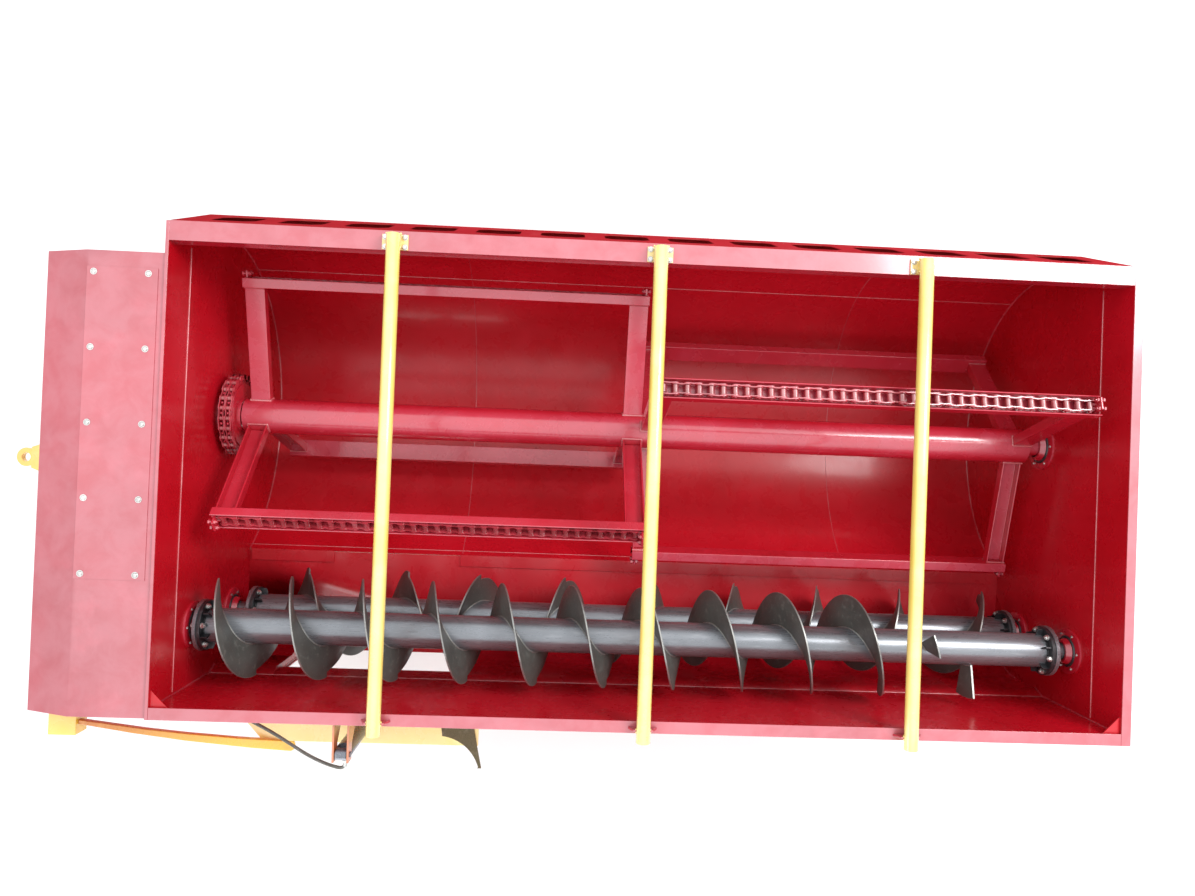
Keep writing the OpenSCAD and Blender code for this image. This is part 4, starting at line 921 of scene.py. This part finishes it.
def round_y(a, r=1.0):
    """A step of length r square to Y, at angle a from X."""
    return Vector((r * math.cos(a), 0, r * math.sin(a)))


def add_lugs(tyre, centre, r, count=30):
    """Slanted lugs from the middle of the tread round its shoulders, on both sides by turns."""
    stations = ((0.004, 0.00, 0.018, -0.001), (0.055, 0.055, 0.020, -0.001),
                (0.096, 0.085, 0.026, -0.018), (0.122, 0.090, 0.028, -0.036))
    for k in range(count):
        for side, shift in ((-1, 0), (1, 0.5)):
            rings = []
            for y, lag, wide, drop in stations:
                a = TAU * (k + shift) / count + lag
                section = ((-0.020, -wide), (0.0, -wide * 0.78), (0.0, wide * 0.78), (-0.020, wide))
                rings.append([centre + Vector((0, side * y, 0)) + round_y(a + w / r, r + drop + base)
                              for base, w in section])
            tyre.grid(rings[::-side])


def build_wheels():
    """Tyres with lugged treads and ribbed walls, and the wheel nuts and hub caps."""
    for side, node, body in ((-1, "front_tyre", "front_wheel_body"), (1, "back_tyre", "back_wheel_body")):
        lo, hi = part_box(node)
        centre = (lo + hi) / 2
        r, half, rim = (hi.z - lo.z) / 2, (hi.y - lo.y) / 2, 0.190
        tread = r - 0.014
        profile = [(-half + 0.026, rim), (-half + 0.012, rim + 0.018), (-half + 0.014, rim + 0.024),
                   (-half + 0.006, rim + 0.034), (-half + 0.0005, rim + 0.080), (-half + 0.001, rim + 0.100),
                   (-half + 0.004, rim + 0.102), (-half + 0.005, r - 0.052), (-half + 0.014, r - 0.030),
                   (-half + 0.034, r - 0.018), (-half + 0.070, tread), (0, tread + 0.002)]
        profile += [(-t, q) for t, q in reversed(profile[:-1])]
        tyre = Shape()
        tyre.turned(centre, (0, 1, 0), profile, 96, caps=False)
        add_lugs(tyre, centre, r)
        tyre.piece(f"{node}_tread", tyre_rubber, body, [node], "tyre", sharp=35)
        nuts = Shape()
        face = Vector((0, side, 0))
        for k in range(6):
            hexagon(nuts, centre + round_y(TAU * k / 6, 0.095) + face * 0.026, face, 0.026, 0.014)
        hub_cap = [(0, 0.052), (0.006, 0.052), (0.022, 0.044), (0.030, 0.028), (0.032, 0.0)]
        nuts.turned(centre + face * 0.060, face, hub_cap, 36)
        nuts.piece(f"{node}_nuts", zinc, body, slot="zinc")


build_wheels()


def build_input_shaft():
    """Six-spline shaft with its locking groove."""
    lo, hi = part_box("pto_shaft")
    y, z = (lo.y + hi.y) / 2, (lo.z + hi.z) / 2
    spline_l, spline_r, root, groove_r = 0.096, 0.0175, 0.0145, 0.0150
    shape = Shape()
    shape.turned(Vector((hi.x, y, z)), (-1, 0, 0), [(0, 0.0249), (spline_l, 0.0249)], 48)
    stations = ((hi.x - spline_l, spline_r, root), (lo.x + 0.045, spline_r, root),
                (lo.x + 0.044, groove_r, root), (lo.x + 0.034, groove_r, root),
                (lo.x + 0.033, spline_r, root), (lo.x + 0.004, spline_r, root), (lo.x, 0.0155, 0.0140))
    rings = []
    for x, top, low in stations:
        tooth = ((-14, low), (-13, top), (0, top), (13, top), (14, low), (30, low))
        rings.append([Vector((x, y, z)) + round_x(math.radians(60 * k + da), r)
                      for k in range(6) for da, r in tooth])
    shape.grid(rings)
    shape.piece("splined_shaft", zinc, "input_shaft", ["pto_shaft"], "zinc", sharp=25)


build_input_shaft()

# ---------------------------------------------------------------- CAD nodes
PAINTS = {
    red: ["reel_trough", "auger_trough", "back_wall", "front_wall", "left_end_wall", "right_end_wall",
          "ridge_strips", "door_jambs", "door_guides", "door_plate", "corner_gussets"],
    red_top: ["front_rim", "back_rim", "end_rims", "drive_cover", "inspection_panel", "bar_saddles"],
    red_matt: ["back_panel"],
    red_reel: ["reel_shaft", "reel_arms", "reel_bats", "bat_chains", "chain_coupling"],
    yellow_bar: ["cross_bars", "discharge_hood"],
    yellow: ["arm_bracket", "chassis_frame", "axle_beam", "drawbar", "tow_eye",
             "jack_tube", "front_wheel", "back_wheel"],
    yellow_pale: ["bar_brackets"],
    arm_enamel: ["support_arm"],
    orange: ["cylinder_bracket"],
    zinc: ["bracket_bolts", "panel_bolts", "jack_leg", "pto_shaft"],
    chrome: ["cylinder_rod"],
    barrel_metal: ["cylinder_barrel"],
    cast_grey: ["bearing_housings", "gearbox"],
    chain_metal: ["drive_chains", "reel_sprocket", "upper_auger_sprocket", "lower_auger_sprocket",
                  "drive_sprockets"],
    slide: ["chain_tensioners"],
    graphite: ["upper_auger_tube", "lower_auger_tube"],
    flight_grey: ["upper_auger_flight", "lower_auger_flight"],
    flange_dark: ["upper_auger_flanges", "lower_auger_flanges"],
    hose_braid: ["hydraulic_hose"],
    flap_rubber: ["rubber_flap"],
    tyre_rubber: ["front_tyre", "back_tyre"],
}
# Widths of the edge bevels, in millimetres; the rest get PLAIN_EDGE
EDGES = {
    8: ["gearbox"],
    5: ["axle_beam"],
    4: ["back_rim", "support_arm", "chassis_frame", "drawbar", "jack_tube", "tow_eye"],
    3: ["reel_arms", "reel_bats", "drive_cover", "arm_bracket", "bearing_housings"],
    2: ["front_rim", "end_rims", "discharge_hood", "bar_saddles", "door_plate", "door_guides", "jack_leg",
        "chain_tensioners"],
    1.5: ["bar_brackets", "ridge_strips", "cylinder_bracket", "front_wheel", "back_wheel"],
    1.2: ["corner_gussets"],
    1: ["cylinder_barrel", "back_panel"],
}
PLAIN_EDGE = 0.8


def finish_nodes():
    """Paints every CAD node, and gives each visible one clean faces and soft edges."""
    widths = {name: width for width, names in EDGES.items() for name in names}
    for material, names in PAINTS.items():
        for name in names:
            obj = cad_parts[name]
            if not obj.material_slots:
                obj.data.materials.append(material)
            for slot in obj.material_slots:
                slot.material = material
            if obj.hide_render:
                continue
            obj.data.polygons.foreach_set("use_smooth", [True] * len(obj.data.polygons))
            weld = obj.modifiers.new("weld", "WELD")
            weld.merge_threshold = 0.00002
            flat = obj.modifiers.new("flat", "DECIMATE")
            flat.decimate_type = "DISSOLVE"
            flat.angle_limit = math.radians(1.2)
            add_bevel(obj, widths.get(name, PLAIN_EDGE) / 1000)


finish_nodes()


# ---------------------------------------------------------------- studio
def build_floor():
    n = Nodes("studio_floor")
    cloud = n.noise(0.5, 4)
    fine = n.noise(90.0, 3)
    colour = n.mix(n.ramp(cloud, 0.3, 0.7), (0.86, 0.86, 0.86), (0.82, 0.82, 0.82))
    n.done(colour, n.ramp(fine, 0.3, 0.7, 0.75, 0.9), n.bump(fine, 0.05, 0.0006), Specular_IOR_Level=0.2)
    mesh = bpy.data.meshes.new("floor")
    half, low = 60.0, -0.001
    mesh.from_pydata([(-half, -half, low), (half, -half, low), (half, half, low), (-half, half, low)], [],
                     [(0, 1, 2, 3)])
    mesh.materials.append(n.material)
    floor = bpy.data.objects.new("floor", mesh)
    scene.collection.objects.link(floor)


def build_world():
    """Even light, brighter from above than from the horizon."""
    world = bpy.data.worlds.new("studio")
    scene.world = world
    world.use_nodes = True
    tree = world.node_tree
    tree.nodes.clear()
    coord = tree.nodes.new("ShaderNodeTexCoord")
    parts = tree.nodes.new("ShaderNodeSeparateXYZ")
    ramp = tree.nodes.new("ShaderNodeMapRange")
    ramp.interpolation_type = "SMOOTHSTEP"
    for key, value in (("From Min", 0.15), ("From Max", 0.75), ("To Min", 0.55), ("To Max", 1.75)):
        ramp.inputs[key].default_value = value
    light = tree.nodes.new("ShaderNodeBackground")
    light.inputs["Color"].default_value = (0.96, 0.98, 1.0, 1)
    out = tree.nodes.new("ShaderNodeOutputWorld")
    tree.links.new(coord.outputs["Generated"], parts.inputs[0])
    tree.links.new(parts.outputs["Z"], ramp.inputs["Value"])
    tree.links.new(ramp.outputs["Result"], light.inputs["Strength"])
    tree.links.new(light.outputs[0], out.inputs[0])


def add_lamp(name, place, target, size, power):
    lamp = bpy.data.lights.new(name, "AREA")
    lamp.shape = "DISK"
    lamp.size = size
    lamp.energy = power
    obj = bpy.data.objects.new(name, lamp)
    obj.location = place
    obj.rotation_euler = (Vector(target) - Vector(place)).to_track_quat("-Z", "Y").to_euler()
    scene.collection.objects.link(obj)


build_floor()
build_world()
add_lamp("soft_key", (5.5, 3.0, 8.0), (0.3, 0.0, 1.2), 3.5, 420)
add_lamp("soft_fill", (-2.0, -7.0, 2.0), (0, 0, 0.3), 4.0, 160)
